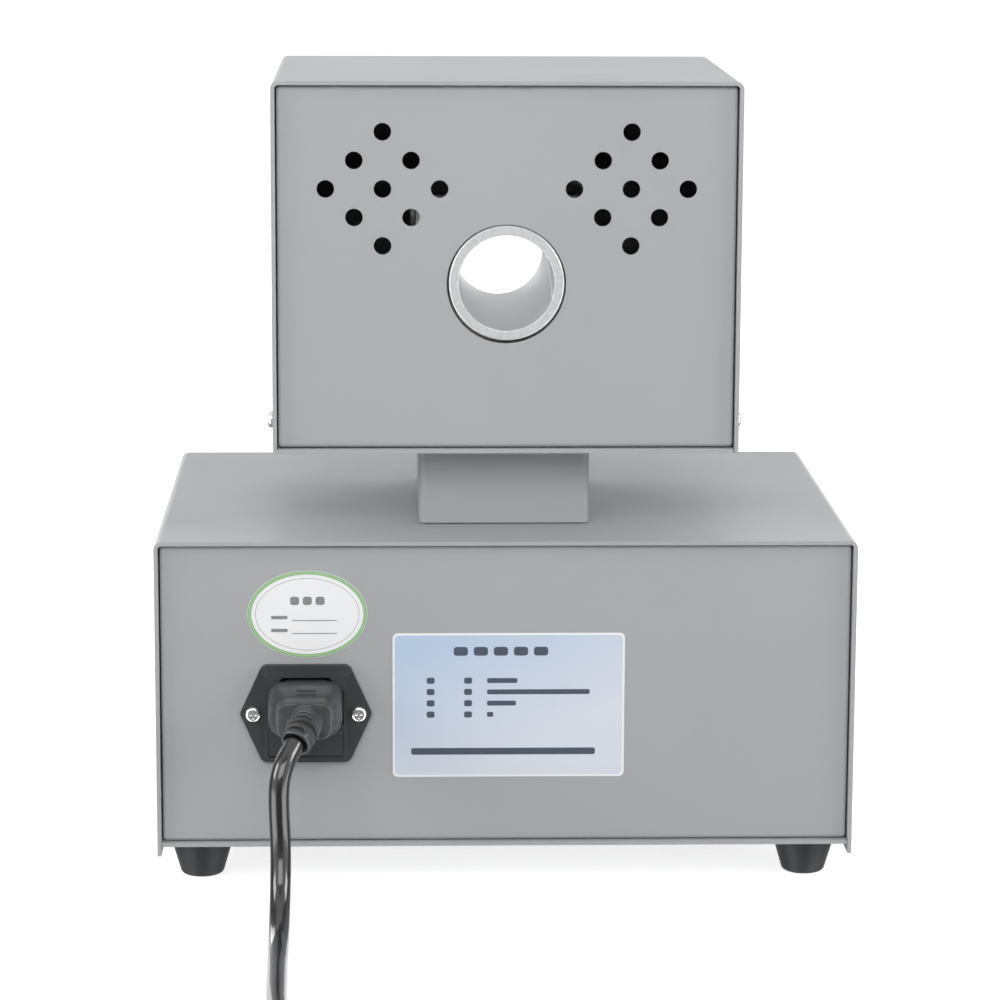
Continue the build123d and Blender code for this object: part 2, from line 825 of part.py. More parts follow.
# Insulation: a block in two halves with a stepped bore
probe_y = tube_rear - (block_start + band_start) / 2
heater_lead_y = band_rear - heater_lead_inset
with BuildPart() as insulation:
    for low, high in ((block_low, tube_z), (tube_z, block_high)):
        with Locations((block_x, block_y, (low + high) / 2)):
            Box(block_width, block_length, high - low - block_seam)
    with Locations((0, block_y, tube_z)):
        Cylinder(tube_outer / 2 + fit, block_length, rotation=(90, 0, 0), mode=Mode.SUBTRACT)
    with Locations((0, (band_front + band_rear) / 2, tube_z)):
        Cylinder(band_outer + fit, band_length + 2 * fit, rotation=(90, 0, 0), mode=Mode.SUBTRACT)
    with Locations((0, ear_y, block_high)):
        Box(block_slot_width, block_slot_length, block_height - band_outer, mode=Mode.SUBTRACT)
    with Locations((block_width / 2, heater_lead_y, tube_z)):
        Cylinder(heater_lead_diameter / 2 + fit, block_width / 2, rotation=(0, 90, 0), mode=Mode.SUBTRACT)
    with Locations((-block_width / 2, probe_y, tube_z)):
        Cylinder(probe_diameter / 2 + fit, block_width / 2, rotation=(0, 90, 0), mode=Mode.SUBTRACT)
keep(insulation, "insulation")

# Saddle: a hat section under the insulation, on two feet
strap_places = [
    facing(block_x + s * strap_screw_x, block_y + t * strap_spread / 2, block_low + sheet, up)
    for s in sides
    for t in sides
]
with BuildPart() as saddle:
    with BuildSketch(Plane.XZ.offset(-block_y)):
        with BuildLine():
            leg = saddle_half_width - sheet
            FilletPolyline(
                (-leg - saddle_foot, upper_deck), (-leg, upper_deck), (-leg, block_low - sheet),
                (leg, block_low - sheet), (leg, upper_deck), (leg + saddle_foot, upper_deck),
                radius=bracket_bend,
            )
            offset(amount=sheet, side=Side.LEFT)
        make_face()
    extrude(amount=saddle_length / 2, both=True)
    cut_holes(saddle_places, small_thread + 2 * hole_play)
    cut_holes(strap_places, small_thread + 2 * running)
keep(saddle, "saddle")

# Straps over the insulation
with BuildPart() as heater_straps:
    for t in sides:
        with BuildSketch(Plane.XZ.offset(-(block_y + t * strap_spread / 2))):
            with BuildLine():
                left = block_x - block_width / 2 - fit
                right = block_x + block_width / 2 + fit
                FilletPolyline(
                    (left - strap_ear, block_low), (left, block_low), (left, block_high + fit),
                    (right, block_high + fit), (right, block_low), (right + strap_ear, block_low),
                    radius=bracket_bend,
                )
                offset(amount=sheet, side=Side.LEFT)
            make_face()
        extrude(amount=strap_width / 2, both=True)
    cut_holes(strap_places, small_thread + 2 * hole_play)
keep(heater_straps, "heater_straps")

# Screws of the saddle, the straps and the band's clamp
ear_outside = band_slit / 2 + band_ear_thickness
with BuildPart() as bracket_screws:
    with Locations(*saddle_places):
        add(pan_head_screw(small_thread, saddle_screw_length, small_head, small_head_rise))
    with Locations(*strap_places):
        add(pan_head_screw(small_thread, strap_screw_length, small_head, small_head_rise))
    with Locations(facing(ear_outside, ear_y, ear_hole_z, (1, 0, 0))):
        add(pan_head_screw(small_thread, 2 * ear_outside + clamp_screw_spare, small_head, small_head_rise))
keep(bracket_screws, "bracket_screws")

# Flanged sleeve that lines the front opening up to the insulation
with BuildPart() as front_sleeve:
    sleeve_rear = block_front - fit
    with BuildSketch(facing(0, sleeve_rear, tube_z, (0, -1, 0))):
        Circle(sleeve_bore / 2 + sleeve_wall)
        Circle(sleeve_bore / 2, mode=Mode.SUBTRACT)
    extrude(amount=sleeve_rear - upper_front_face)
    with BuildSketch(facing(0, upper_front_face, tube_z, (0, -1, 0))):
        Circle(sleeve_flange / 2)
        Circle(sleeve_bore / 2, mode=Mode.SUBTRACT)
    extrude(amount=sleeve_flange_thickness)
    front_edges = front_sleeve.faces().sort_by(Axis.Y)[0].edges()
    fillet(front_edges, sleeve_edge)
    cut_holes(sleeve_places, small_thread + 2 * hole_play)
keep(front_sleeve, "front_sleeve")

# Short screws of the panels, the post and the sleeve
with BuildPart() as panel_screws:
    panel_places = [*base_panel_places, *upper_panel_places]
    with Locations(*panel_places, *lower_post_places, *upper_post_places, *sleeve_places):
        add(small_screw)
keep(panel_screws, "panel_screws")

# Thermocouple probe that touches the tube between the band and the block's end
with BuildPart() as thermocouple:
    with BuildSketch(facing(-probe_tip, probe_y, tube_z, (-1, 0, 0))):
        Circle(probe_diameter / 2)
    extrude(amount=probe_length)
    with BuildSketch(facing(-probe_tip - probe_length, probe_y, tube_z, (-1, 0, 0))):
        Circle(probe_cap_diameter / 2)
    extrude(amount=probe_cap_length)
keep(thermocouple, "thermocouple")

# Mains inlet: flange, raised frame, body, socket and drawer bay
socket_low = socket_z - socket_height / 2
socket_high = socket_z + socket_height / 2
with BuildPart() as inlet_body:
    with BuildSketch(facing(inlet_x, base_face, inlet_z, (0, 1, 0))) as flange_outline:
        with BuildLine():
            Polyline(
                (inlet_flange_width / 2, 0), (inlet_flange_flat / 2, inlet_flange_height / 2),
                (-inlet_flange_flat / 2, inlet_flange_height / 2), (-inlet_flange_width / 2, 0),
                (-inlet_flange_flat / 2, -inlet_flange_height / 2),
                (inlet_flange_flat / 2, -inlet_flange_height / 2),
                close=True,
            )
        make_face()
        fillet(flange_outline.vertices().group_by(Axis.Y)[1], inlet_tip_corner)
        corner_rows = flange_outline.vertices().group_by(Axis.Y)
        fillet(corner_rows[0] + corner_rows[-1], inlet_corner)
    extrude(amount=inlet_flange_thickness)
    with BuildSketch(facing(inlet_x, inlet_face, inlet_z, (0, 1, 0))):
        RectangleRounded(inlet_frame_width, inlet_frame_height, inlet_frame_corner)
    extrude(amount=inlet_frame_rise)
    with BuildSketch(facing(inlet_x, base_face, inlet_z, (0, -1, 0))):
        Rectangle(inlet_body_width, inlet_body_height)
    extrude(amount=inlet_body_depth)
    for width, low, high, corner, depth in (
        (recess_width, recess_low, recess_high, recess_corner, recess_depth),
        (socket_width, socket_low, socket_high, socket_corner, socket_depth),
    ):
        with BuildSketch(facing(inlet_x, frame_face, (low + high) / 2, (0, 1, 0))) as socket_outline:
            Rectangle(width, high - low)
            upper_corners = socket_outline.vertices().group_by(Axis.Y)[-1]
            chamfer(upper_corners, corner)
        extrude(amount=-depth, mode=Mode.SUBTRACT)
    drawer_z = (drawer_low + drawer_high) / 2
    with Locations((inlet_x, frame_face, drawer_z)):
        Box(
            drawer_width + 2 * fit,
            2 * (drawer_front + fit),
            drawer_high - drawer_low + 2 * fit,
            mode=Mode.SUBTRACT,
        )
        Box(
            drawer_tray_width + 2 * fit,
            2 * (drawer_front + drawer_tray_depth + fit),
            drawer_tray_height + 2 * fit,
            mode=Mode.SUBTRACT,
        )
    cut_holes(
        [facing(inlet_x + s * inlet_screw_x, inlet_face, inlet_z, (0, 1, 0)) for s in sides],
        small_thread + 2 * hole_play,
    )
keep(inlet_body, "inlet_body")

inlet_screw_places = [facing(inlet_x + s * inlet_screw_x, inlet_face, inlet_z, (0, 1, 0)) for s in sides]
with BuildPart() as inlet_screws:
    with Locations(*inlet_screw_places):
        add(pan_head_screw(small_thread, inlet_screw_length, inlet_screw_head, inlet_screw_rise))
keep(inlet_screws, "inlet_screws")

# Contact blades of the inlet, with solder tabs behind its body
blade_places = [
    (-blade_spread, -earth_blade_rise / 2),
    (0, earth_blade_rise),
    (blade_spread, -earth_blade_rise / 2),
]
blade_root = base_face - inlet_body_depth
with BuildPart() as inlet_contacts:
    for dx, dz in blade_places:
        with Locations((inlet_x + dx, socket_floor, socket_z + dz)):
            Box(blade_thickness, blade_length, blade_width, align=behind)
        with Locations((inlet_x + dx, blade_root, socket_z + dz)):
            Box(tab_thickness, tab_length, blade_width, align=before)
keep(inlet_contacts, "inlet_contacts")

# Fuse drawer: a front plate and a tray with two pockets
tray_front = frame_face - drawer_front
pocket_length = fuse_length + 2 * fit
pocket_width = fuse_diameter + 2 * fit
pocket_floor = drawer_z - drawer_tray_height / 2 + fuse_pocket_floor
fuse_ys = [
    tray_front - fuse_pocket_wall - pocket_width / 2 - n * (pocket_width + fuse_pocket_wall) for n in range(2)
]
with BuildPart() as fuse_drawer:
    with Locations((inlet_x, tray_front, drawer_z)):
        Box(drawer_width, drawer_front, drawer_high - drawer_low, align=behind)
        Box(drawer_tray_width, drawer_tray_depth, drawer_tray_height, align=before)
    for y in fuse_ys:
        with Locations((inlet_x, y, pocket_floor)):
            Box(
                pocket_length,
                pocket_width,
                drawer_tray_height,
                align=(Align.CENTER, Align.CENTER, Align.MIN),
                mode=Mode.SUBTRACT,
            )
    with Locations((inlet_x, frame_face, drawer_high)):
        Box(drawer_notch_width, 2 * drawer_notch_depth, 2 * drawer_notch_height, mode=Mode.SUBTRACT)
keep(fuse_drawer, "fuse_drawer")

# Two glass fuses with metal caps, one in use and one spare
fuse_z = pocket_floor + running + fuse_diameter / 2
with BuildPart() as fuses:
    for y in fuse_ys:
        with Locations((inlet_x, y, fuse_z)):
            glass_radius = fuse_diameter / 2 - fuse_glass_inset
            Cylinder(glass_radius, fuse_length - 2 * fuse_glass_inset, rotation=(0, 90, 0))
        for s in sides:
            with Locations((inlet_x + s * (fuse_length - fuse_cap) / 2, y, fuse_z)):
                Cylinder(fuse_diameter / 2, fuse_cap, rotation=(0, 90, 0))
keep(fuses, "fuses")

# Labels on the rear panel
with BuildPart() as rating_label:
    with BuildSketch(facing(plate_label_x, base_face, plate_label_z, (0, 1, 0))):
        RectangleRounded(plate_label_width, plate_label_height, plate_label_corner)
    extrude(amount=label_thickness)
keep(rating_label, "rating_label")

with BuildPart() as oval_label:
    with BuildSketch(facing(oval_label_x, base_face, oval_label_z, (0, 1, 0))):
        Ellipse(oval_label_width / 2, oval_label_height / 2)
    extrude(amount=label_thickness)
keep(oval_label, "oval_label")

# Panel instruments
front = -base_face
bezel_front = front - bezel_rise
display_front = bezel_front + window_inset + window_thickness
key_back = bezel_front + bezel_face + fit + key_flange
button_tip = key_back + key_travel + fit
board_front = front + board_depth

# Bezels: a face with a window and key holes, hollow behind
for unit in instruments:
    with BuildPart() as bezel:
        with BuildSketch(facing(unit.x, front, unit.z, (0, -1, 0))):
            RectangleRounded(unit.size, unit.size, bezel_corner)
        extrude(amount=bezel_rise)
        chamfer(bezel.faces().sort_by(Axis.Y)[0].edges(), bezel_edge)
        hollow = unit.size - 2 * bezel_wall
        with Locations((unit.x, front, unit.z)):
            Box(hollow, 2 * (bezel_rise - bezel_face), hollow, mode=Mode.SUBTRACT)
        with Locations((unit.x, bezel_front, unit.window_z)):
            window_hole = (unit.window_width + 2 * fit, 4 * bezel_face, unit.window_height + 2 * fit)
            Box(*window_hole, mode=Mode.SUBTRACT)
        with Locations(*[(x, bezel_front, unit.key_z) for x in unit.key_xs]):
            Box(key_width + 2 * fit, 4 * bezel_face, key_height + 2 * fit, mode=Mode.SUBTRACT)
    keep(bezel, f"{unit.name}_bezel")

# Dark windows in front of the displays
with BuildPart() as instrument_windows:
    for unit in instruments:
        with Locations((unit.x, bezel_front + window_inset, unit.window_z)):
            Box(unit.window_width, window_thickness, unit.window_height, align=behind)
keep(instrument_windows, "instrument_windows")

# Circuit boards, each with its display block and a push button behind each key
with BuildPart() as instrument_boards:
    for unit in instruments:
        board_size = unit.cutout - 2 * case_wall - 2 * fit
        with Locations((unit.x, board_front, unit.z)):
            Box(board_size, board_thickness, board_size, align=behind)
        with Locations((unit.x, display_front, unit.window_z)):
            Box(
                unit.window_width - 2 * display_edge,
                board_front - display_front,
                unit.window_height - 2 * display_edge,
                align=behind,
            )
        with Locations(*[(x, board_front, unit.key_z) for x in unit.key_xs]):
            Box(button_size, board_front - button_tip - button_stem, button_size, align=before)
        with Locations(*[facing(x, board_front, unit.key_z, (0, -1, 0)) for x in unit.key_xs]):
            Cylinder(button_stem_diameter / 2, board_front - button_tip, align=standing)
keep(instrument_boards, "instrument_boards")

# Cases behind the panel, with their rear terminals and the clamps that hold them
with BuildPart() as instrument_cases:
    for unit in instruments:
        inside = unit.cutout - 2 * case_wall
        with Locations((unit.x, front, unit.z)):
            Box(unit.cutout, unit.depth, unit.cutout, align=behind)
            Box(inside, unit.depth - case_wall, inside, align=behind, mode=Mode.SUBTRACT)
        with Locations((unit.x, front + unit.depth, unit.z)):
            Box(inside, rear_terminal_depth, rear_terminal_height, align=behind)
        for s in sides:
            clamp_x = unit.x + s * ((unit.cutout + clamp_thickness) / 2 + running)
            with Locations((clamp_x, front + sheet, unit.z)):
                Box(clamp_thickness, clamp_width, clamp_width, align=behind)
keep(instrument_cases, "instrument_cases")

# Keys, each held behind the bezel by its flange
for unit in instruments:
    for number, x in enumerate(unit.key_xs, start=1):
        with BuildPart() as key:
            with Locations((x, bezel_front - key_rise, unit.key_z)):
                Box(key_width, key_rise + bezel_face + fit, key_height, align=behind)
            fillet(key.faces().sort_by(Axis.Y)[0].edges(), key_edge)
            with Locations((x, bezel_front + bezel_face + fit, unit.key_z)):
                held = 2 * key_flange_edge
                Box(key_width + held, key_flange, key_height + held, align=behind)
        keep(key, f"{unit.name}_key_{number}")

# Power switch: frame with a mouth for the rocker
rocker_y = front + rocker_pivot_depth
rocker_radius = switch_mouth_height / 2 - fit
with BuildPart() as switch_frame:
    with BuildSketch(facing(switch_x, front, switch_z, (0, -1, 0))):
        RectangleRounded(switch_flange_width, switch_flange_height, switch_corner)
    extrude(amount=switch_flange_thickness)
    fillet(switch_frame.faces().sort_by(Axis.Y)[0].edges(), switch_edge)
    with Locations((switch_x, front, switch_z)):
        Box(
            switch_body_width,
            switch_body_depth,
            switch_body_height,
            align=(Align.CENTER, Align.MIN, Align.CENTER),
        )
    with Locations((switch_x, front - switch_flange_thickness, switch_z)):
        Box(
            switch_mouth_width,
            switch_mouth_depth + switch_flange_thickness,
            switch_mouth_height,
            align=(Align.CENTER, Align.MIN, Align.CENTER),
            mode=Mode.SUBTRACT,
        )
    cut_holes(
        [facing(switch_x, rocker_y, switch_z, (1, 0, 0))],
        rocker_pin + 2 * running,
        depth=switch_mouth_width + 2 * rocker_pin_reach + 2 * running,
    )
    for sx in sides:
        for sz in sides:
            tab_x = switch_x + sx * switch_tab_x
            with Locations((tab_x, front + switch_body_depth, switch_z + sz * switch_tab_z)):
                Box(switch_tab_thickness, switch_tab, switch_tab_width, align=behind)
keep(switch_frame, "switch_frame")

# Rocker: two faces that meet in a shallow valley, on two stub pins
with BuildPart() as rocker:
    tilt = math.radians(rocker_angle)
    rest_plane = Plane(
        origin=(switch_x, rocker_y, switch_z),
        x_dir=(0, -math.sin(tilt), math.cos(tilt)),
        z_dir=(1, 0, 0),
    )
    slope = math.tan(tilt)
    with BuildSketch(rest_plane):
        Circle(rocker_radius)
        with BuildLine():
            Polyline(
                (-rocker_radius, -rocker_back), (rocker_radius, -rocker_back),
                (rocker_radius, rocker_ridge + slope * rocker_radius), (0, rocker_ridge),
                (-rocker_radius, rocker_ridge + slope * rocker_radius), close=True,
            )
        make_face(mode=Mode.INTERSECT)
    extrude(amount=switch_mouth_width / 2 - fit, both=True)
    with Locations(facing(switch_x, rocker_y, switch_z, (1, 0, 0))):
        Cylinder(rocker_pin / 2, switch_mouth_width + 2 * rocker_pin_reach)
keep(rocker, "rocker")

# Pilot lamp: threaded body with its bezel, nut and lens
with BuildPart() as lamp_body:
    with BuildSketch(facing(lamp_x, front, lamp_z, (0, -1, 0))):
        Circle(lamp_bezel / 2)
    extrude(amount=lamp_bezel_rise)
    fillet(lamp_body.faces().sort_by(Axis.Y)[0].edges(), lamp_bezel_edge)
    with BuildSketch(facing(lamp_x, front, lamp_z, (0, 1, 0))):
        Circle(lamp_thread / 2)
    extrude(amount=lamp_depth)
    with Locations(facing(lamp_x, front + sheet, lamp_z, (0, 1, 0))):
        add(hex_nut(lamp_thread, lamp_nut_flats, lamp_nut_height))
keep(lamp_body, "lamp_body")

with BuildPart() as lamp_lens_part:
    lens_seat = front - lamp_bezel_rise
    with BuildSketch(facing(lamp_x, lens_seat, lamp_z, (0, -1, 0))):
        Circle(lamp_lens / 2)
    extrude(amount=lamp_lens_rise)
    fillet(lamp_lens_part.faces().sort_by(Axis.Y)[0].edges(), lamp_lens_edge)
keep(lamp_lens_part, "lamp_lens")

# Finned heat sink on the bottom plate
with BuildPart() as relay_heatsink:
    with Locations((heatsink_x, heatsink_y, base_deck + heatsink_fin_height)):
        Box(
            heatsink_width,
            heatsink_depth,
            heatsink_plate,
            align=(Align.CENTER, Align.CENTER, Align.MIN),
        )
    fin_step = (heatsink_width - heatsink_fin) / (heatsink_fin_count - 1)
    with Locations((heatsink_x, heatsink_y, base_deck)):
        with GridLocations(fin_step, 0, heatsink_fin_count, 1):
            Box(
                heatsink_fin,
                heatsink_depth,
                heatsink_fin_height,
                align=(Align.CENTER, Align.CENTER, Align.MIN),
            )
keep(relay_heatsink, "relay_heatsink")

# Solid-state relay that switches the heater
relay_low = base_deck + heatsink_fin_height + heatsink_plate
relay_step_y = (relay_depth - relay_step_depth) / 2
relay_step = relay_low + relay_height - relay_step_drop
with BuildPart() as relay:
    with Locations((heatsink_x, heatsink_y, relay_low)):
        Box(relay_width, relay_depth, relay_height, align=(Align.CENTER, Align.CENTER, Align.MIN))
    fillet(relay.edges().filter_by(Axis.Z), relay_corner)
    for t in sides:
        with Locations((heatsink_x, heatsink_y + t * relay_step_y, relay_low + relay_height)):
            step_width = relay_width - 2 * relay_step_margin
            Box(step_width, relay_step_depth, 2 * relay_step_drop, mode=Mode.SUBTRACT)
keep(relay, "relay")

# Terminal strip with a pair of screws for each way
with BuildPart() as terminal_strip:
    strip_width = terminal_pitch * terminal_ways
    with Locations((terminal_x, terminal_y, base_deck)):
        Box(strip_width, terminal_depth, terminal_height, align=(Align.CENTER, Align.CENTER, Align.MIN))
    with Locations((terminal_x, terminal_y, base_deck + terminal_height)):
        with GridLocations(terminal_pitch, terminal_row_spread, terminal_ways, 2):
            Cylinder(terminal_well_diameter / 2, 2 * terminal_well_depth, mode=Mode.SUBTRACT)
keep(terminal_strip, "terminal_strip")

# Clamping screws of the relay and of the terminal strip
with BuildPart() as terminal_screws:
    for t in sides:
        for s in sides:
            with Locations((heatsink_x + s * relay_screw_x, heatsink_y + t * relay_step_y, relay_step)):
                Cylinder(relay_screw_diameter / 2, relay_screw_height, align=standing)
    with Locations((terminal_x, terminal_y, base_deck + terminal_height - terminal_well_depth)):
        with GridLocations(terminal_pitch, terminal_row_spread, terminal_ways, 2):
            Cylinder(terminal_screw_diameter / 2, terminal_screw_height, align=standing)
keep(terminal_screws, "terminal_screws")

# Earth stud
with BuildPart() as earth_stud:
    with Locations((earth_x, earth_y, base_deck)):
        Cylinder(foot_thread / 2, earth_stud_height, align=standing)
keep(earth_stud, "earth_stud")

# Nuts of the feet, the earth stud, the inlet and the band's clamp
with BuildPart() as nuts:
    with Locations(*[(x, y, base_deck) for x, y in feet_places]):
        add(foot_nut)
    with Locations((earth_x, earth_y, base_deck), (earth_x, earth_y, base_deck + earth_nut_rise)):
        add(foot_nut)
    for s in sides:
        with Locations(facing(inlet_x + s * inlet_screw_x, base_face - sheet, inlet_z, (0, -1, 0))):
            add(small_nut)
    with Locations(facing(-ear_outside, ear_y, ear_hole_z, (-1, 0, 0))):
        add(small_nut)
keep(nuts, "nuts")

# Leads inside the machine, each one tube along its clipped route
side_run = 60.0
leads = {
    "heater_lead": (
        heater_lead_diameter,
        [[
            (band_outer + fit, heater_lead_y, tube_z),
            (band_outer + 18.0, heater_lead_y, tube_z),
            (side_run, heater_lead_y + 4.0, tube_z - 16.0),
            (side_run + 1.0, heater_lead_y + 14.0, tube_z - 38.0),
            (side_run - 4.0, 72.0, upper_deck + 14.0),
            (side_run - 22.0, 76.0, upper_deck + 9.0),
            (16.0, 68.0, upper_deck + 8.0),
            (6.0, post_y + 26.0, upper_deck + 10.0),
            (3.6, post_y, upper_deck + 16.0),
            (3.4, post_y, upper_floor - 14.0),
            (3.6, post_y, base_top - 14.0),
            (8.0, post_y + 4.0, base_top - 34.0),
            (18.0, terminal_y - 18.0, base_deck + 46.0),
            (terminal_x, terminal_y - 5.0, base_deck + 34.0),
            (terminal_x, terminal_y - 5.0, base_deck + terminal_height + fit),
        ]],
    ),
    "thermocouple_lead": (
        signal_lead_diameter,
        [[
            (-probe_tip - probe_length - probe_cap_length, probe_y, tube_z),
            (-probe_tip - probe_length - probe_cap_length - 7.0, probe_y, tube_z),
            (-side_run - 8.0, probe_y + 1.0, tube_z - 12.0),
            (-side_run - 8.0, probe_y + 3.0, tube_z - 34.0),
            (-side_run, 76.0, upper_deck + 12.0),
            (-side_run + 20.0, 77.0, upper_deck + 7.0),
            (-16.0, 70.0, upper_deck + 7.0),
            (-6.0, post_y + 26.0, upper_deck + 8.0),
            (-3.6, post_y, upper_deck + 14.0),
            (-3.4, post_y, upper_floor - 14.0),
            (-3.6, post_y, base_top - 12.0),
            (-12.0, post_y - 1.0, base_top - 30.0),
            (-40.0, 8.0, base_top - 38.0),
            (thermostat.x + 10.0, 4.0, thermostat.z + 6.0),
            (thermostat.x + 8.0, -8.0, thermostat.z),
            (thermostat.x + 8.0, front + thermostat.depth + 6.0 + fit, thermostat.z),
        ]],
    ),
    "mains_leads": (
        mains_lead_diameter,
        [[
            (inlet_x + blade_spread, blade_root - tab_length - fit, socket_z),
            (inlet_x + blade_spread, blade_root - tab_length - 12.0, socket_z),
            (inlet_x + 12.0, blade_root - tab_length - 32.0, socket_z - 8.0),
            (switch_x - 8.0, 0.0, switch_z - 2.0),
            (switch_x, -24.0, switch_z + 1.0),
            (switch_x, -46.0, switch_z),
            (switch_x, front + switch_body_depth + 8.0 + fit, switch_z),
        ], [
            (heatsink_x + relay_screw_x, heatsink_y - relay_step_y, relay_step + relay_screw_height + fit),
            (heatsink_x + relay_screw_x, heatsink_y - relay_step_y, relay_low + relay_height + 9.0),
            (heatsink_x + 26.0, heatsink_y - relay_depth / 2 - 2.0, relay_low + relay_height + 14.0),
            (heatsink_x + 54.0, heatsink_y - 20.0, relay_low + relay_height + 6.0),
            (terminal_x - 1.5 * terminal_pitch, terminal_y - 12.0, base_deck + 42.0),
            (terminal_x - 2 * terminal_pitch, terminal_y - 5.0, base_deck + 30.0),
            (terminal_x - 2 * terminal_pitch, terminal_y - 5.0, base_deck + terminal_height + fit),
        ]],
    ),
}
for name, (diameter, routes) in leads.items():
    with BuildPart() as lead:
        for route in routes:
            tube_along(route, diameter)
    keep(lead, name)

# Mains connector: plugged-in front, grip with shoulders and a smaller block behind
connector_z = (recess_low + recess_high) / 2
with BuildPart() as connector:
    for distance, width, height, rise in grip_sections:
        with BuildSketch(facing(inlet_x, frame_face + distance, connector_z + rise, (0, 1, 0))):
            RectangleRounded(width, height, grip_corner)
    loft(ruled=True)
    with BuildSketch(facing(inlet_x, frame_face + grip_step, connector_z - grip_block_drop, (0, 1, 0))):
        RectangleRounded(grip_block_width, grip_block_height, grip_corner)
    extrude(amount=grip_end - grip_step + grip_start)
    with BuildSketch(facing(inlet_x, frame_face + grip_start, socket_z, (0, -1, 0))) as nose_outline:
        Rectangle(socket_width - 2 * fit, socket_height - 2 * fit)
        high_corners = nose_outline.vertices().group_by(Axis.Y)[-1]
        chamfer(high_corners, socket_corner)
    extrude(amount=grip_start + socket_depth - fit)
    for dx, dz in blade_places:
        with Locations((inlet_x + dx, socket_floor, socket_z + dz)):
            Box(
                blade_thickness + 2 * fit,
                2 * (blade_length + fit),
                blade_width + 2 * fit,
                mode=Mode.SUBTRACT,
            )
keep(connector, "connector")

# Strain relief: tapered, straight at first, then drooping and leaning to its mouth
relief_z = connector_z - grip_block_drop
lean = math.radians(relief_lean)
steps = 6
relief_path = [(inlet_x, relief_y, relief_z, 0.0)]
relief_path.append((inlet_x, relief_y + relief_straight, relief_z, 0.0))
for step in range(1, steps + 1):
    droop = math.radians(relief_droop * step / steps)
    ahead = relief_turn_radius * math.sin(droop)
    fall = relief_turn_radius * (1 - math.cos(droop))
    swing = ahead * math.tan(lean * step / steps / 2)
    relief_path.append((inlet_x + swing, relief_y + relief_straight + ahead, relief_z - fall, droop))


def relief_plane(index):
    """The plane across the strain relief at one of its path's points."""
    x, y, z, droop = relief_path[index]
    share = droop / math.radians(relief_droop)
    side = lean * share
    return Plane(
        origin=(x, y, z),
        x_dir=(-math.cos(side), math.sin(side), 0),
        z_dir=(math.sin(side) * math.cos(droop), math.cos(side) * math.cos(droop), -math.sin(droop)),
    )


def relief_diameter(share):
    """The strain relief's diameter at a share of its way to the mouth."""
    return relief_start_diameter + share * (relief_end_diameter - relief_start_diameter)


with BuildPart() as strain_relief:
    last = len(relief_path) - 1
    for index in range(last + 1):
        share = index / last
        diameter = relief_diameter(share)
        with BuildSketch(relief_plane(index)):
            Circle(diameter / 2)
    loft()
    for index in range(1, relief_groove_count + 1):
        share = index / last
        radius = relief_diameter(share) / 2
        with BuildSketch(relief_plane(index)):
            Circle(radius + groove_overlap)
            Circle(radius - relief_groove_depth, mode=Mode.SUBTRACT)
            with Locations((radius * (relief_groove_reach if index % 2 else -relief_groove_reach), 0)):
                Rectangle(relief_groove_width * radius, 4 * radius, mode=Mode.INTERSECT)
        extrude(amount=relief_groove / 2, both=True, mode=Mode.SUBTRACT)
keep(strain_relief, "strain_relief")

# Mains cord from the strain relief's mouth to the floor and along it to the coil
mouth = relief_plane(last)
mouth_direction = mouth.z_dir
cord_start = tuple(mouth.origin)
cord_second = tuple(mouth.origin + mouth_direction * first_run)
floor_z = cord_diameter / 2 + floor_gap
cord_route = [
    cord_start,
    cord_second,
    (84.2, 157.4, 59.2),
    (84.5, 158.7, 49.2),
    (83.7, 159.6, 34.0),
    (83.9, 166.5, 17.5),
    (84.1, 180.5, 6.8),
    (84.0, 199.0, floor_z),
    (83.6, 221.0, floor_z),
    (83.2, 245.0, floor_z),
    (80.8, 274.0, floor_z + 0.3),
    (coil_x + coil_radius, 303.0, coil_z),
    (coil_x + coil_radius, coil_y - cord_diameter, coil_z),
]
with BuildPart() as cord:
    cord_length = tube_along(cord_route, cord_diameter)
keep(cord, "cord")
print("mouth", cord_start, cord_second)
print("cord radii", [round(radius, 1) for radius in route_radii(cord_route)])
section = math.pi * cord_diameter**2 / 4
print("cord volume over section times length", round(cord.part.volume / (section * cord_length), 4))


def widen(centre, radius, angle, growth):
    """Changes an arc's radius about its point at an angle, so that the two arcs meet square there."""
    turn = math.radians(angle)
    return (centre[0] - growth * math.cos(turn), centre[1] - growth * math.sin(turn)), radius + growth


def spiral(centre, radius, start, quarters, growth, height):
    """Quarter turns of a flat spiral, each wider than the last by the growth."""
    arcs = []
    for quarter in range(quarters):
        if quarter > 0:
            centre, radius = widen(centre, radius, start + 90 * quarter, growth)
        turns = [math.radians(start + 90 * quarter + step) for step in (0, 45, 90)]
        cx, cy = centre
        arcs.append([(cx + radius * math.cos(t), cy + radius * math.sin(t), height) for t in turns])
    return arcs, centre, radius


def climb(centre, radius, start, low, high):
    """A half turn that climbs: two equal arcs, level at both ends, that meet half way up."""
    turn = math.radians(start)
    bulge = math.hypot(radius, (high - low) / 2)
    first = (centre[0] + radius * math.cos(turn), centre[1] + radius * math.sin(turn), low)
    middle = (centre[0] - bulge * math.sin(turn), centre[1] + bulge * math.cos(turn), (low + high) / 2)
    end = (centre[0] - radius * math.cos(turn), centre[1] - radius * math.sin(turn), high)
    return first, middle, end


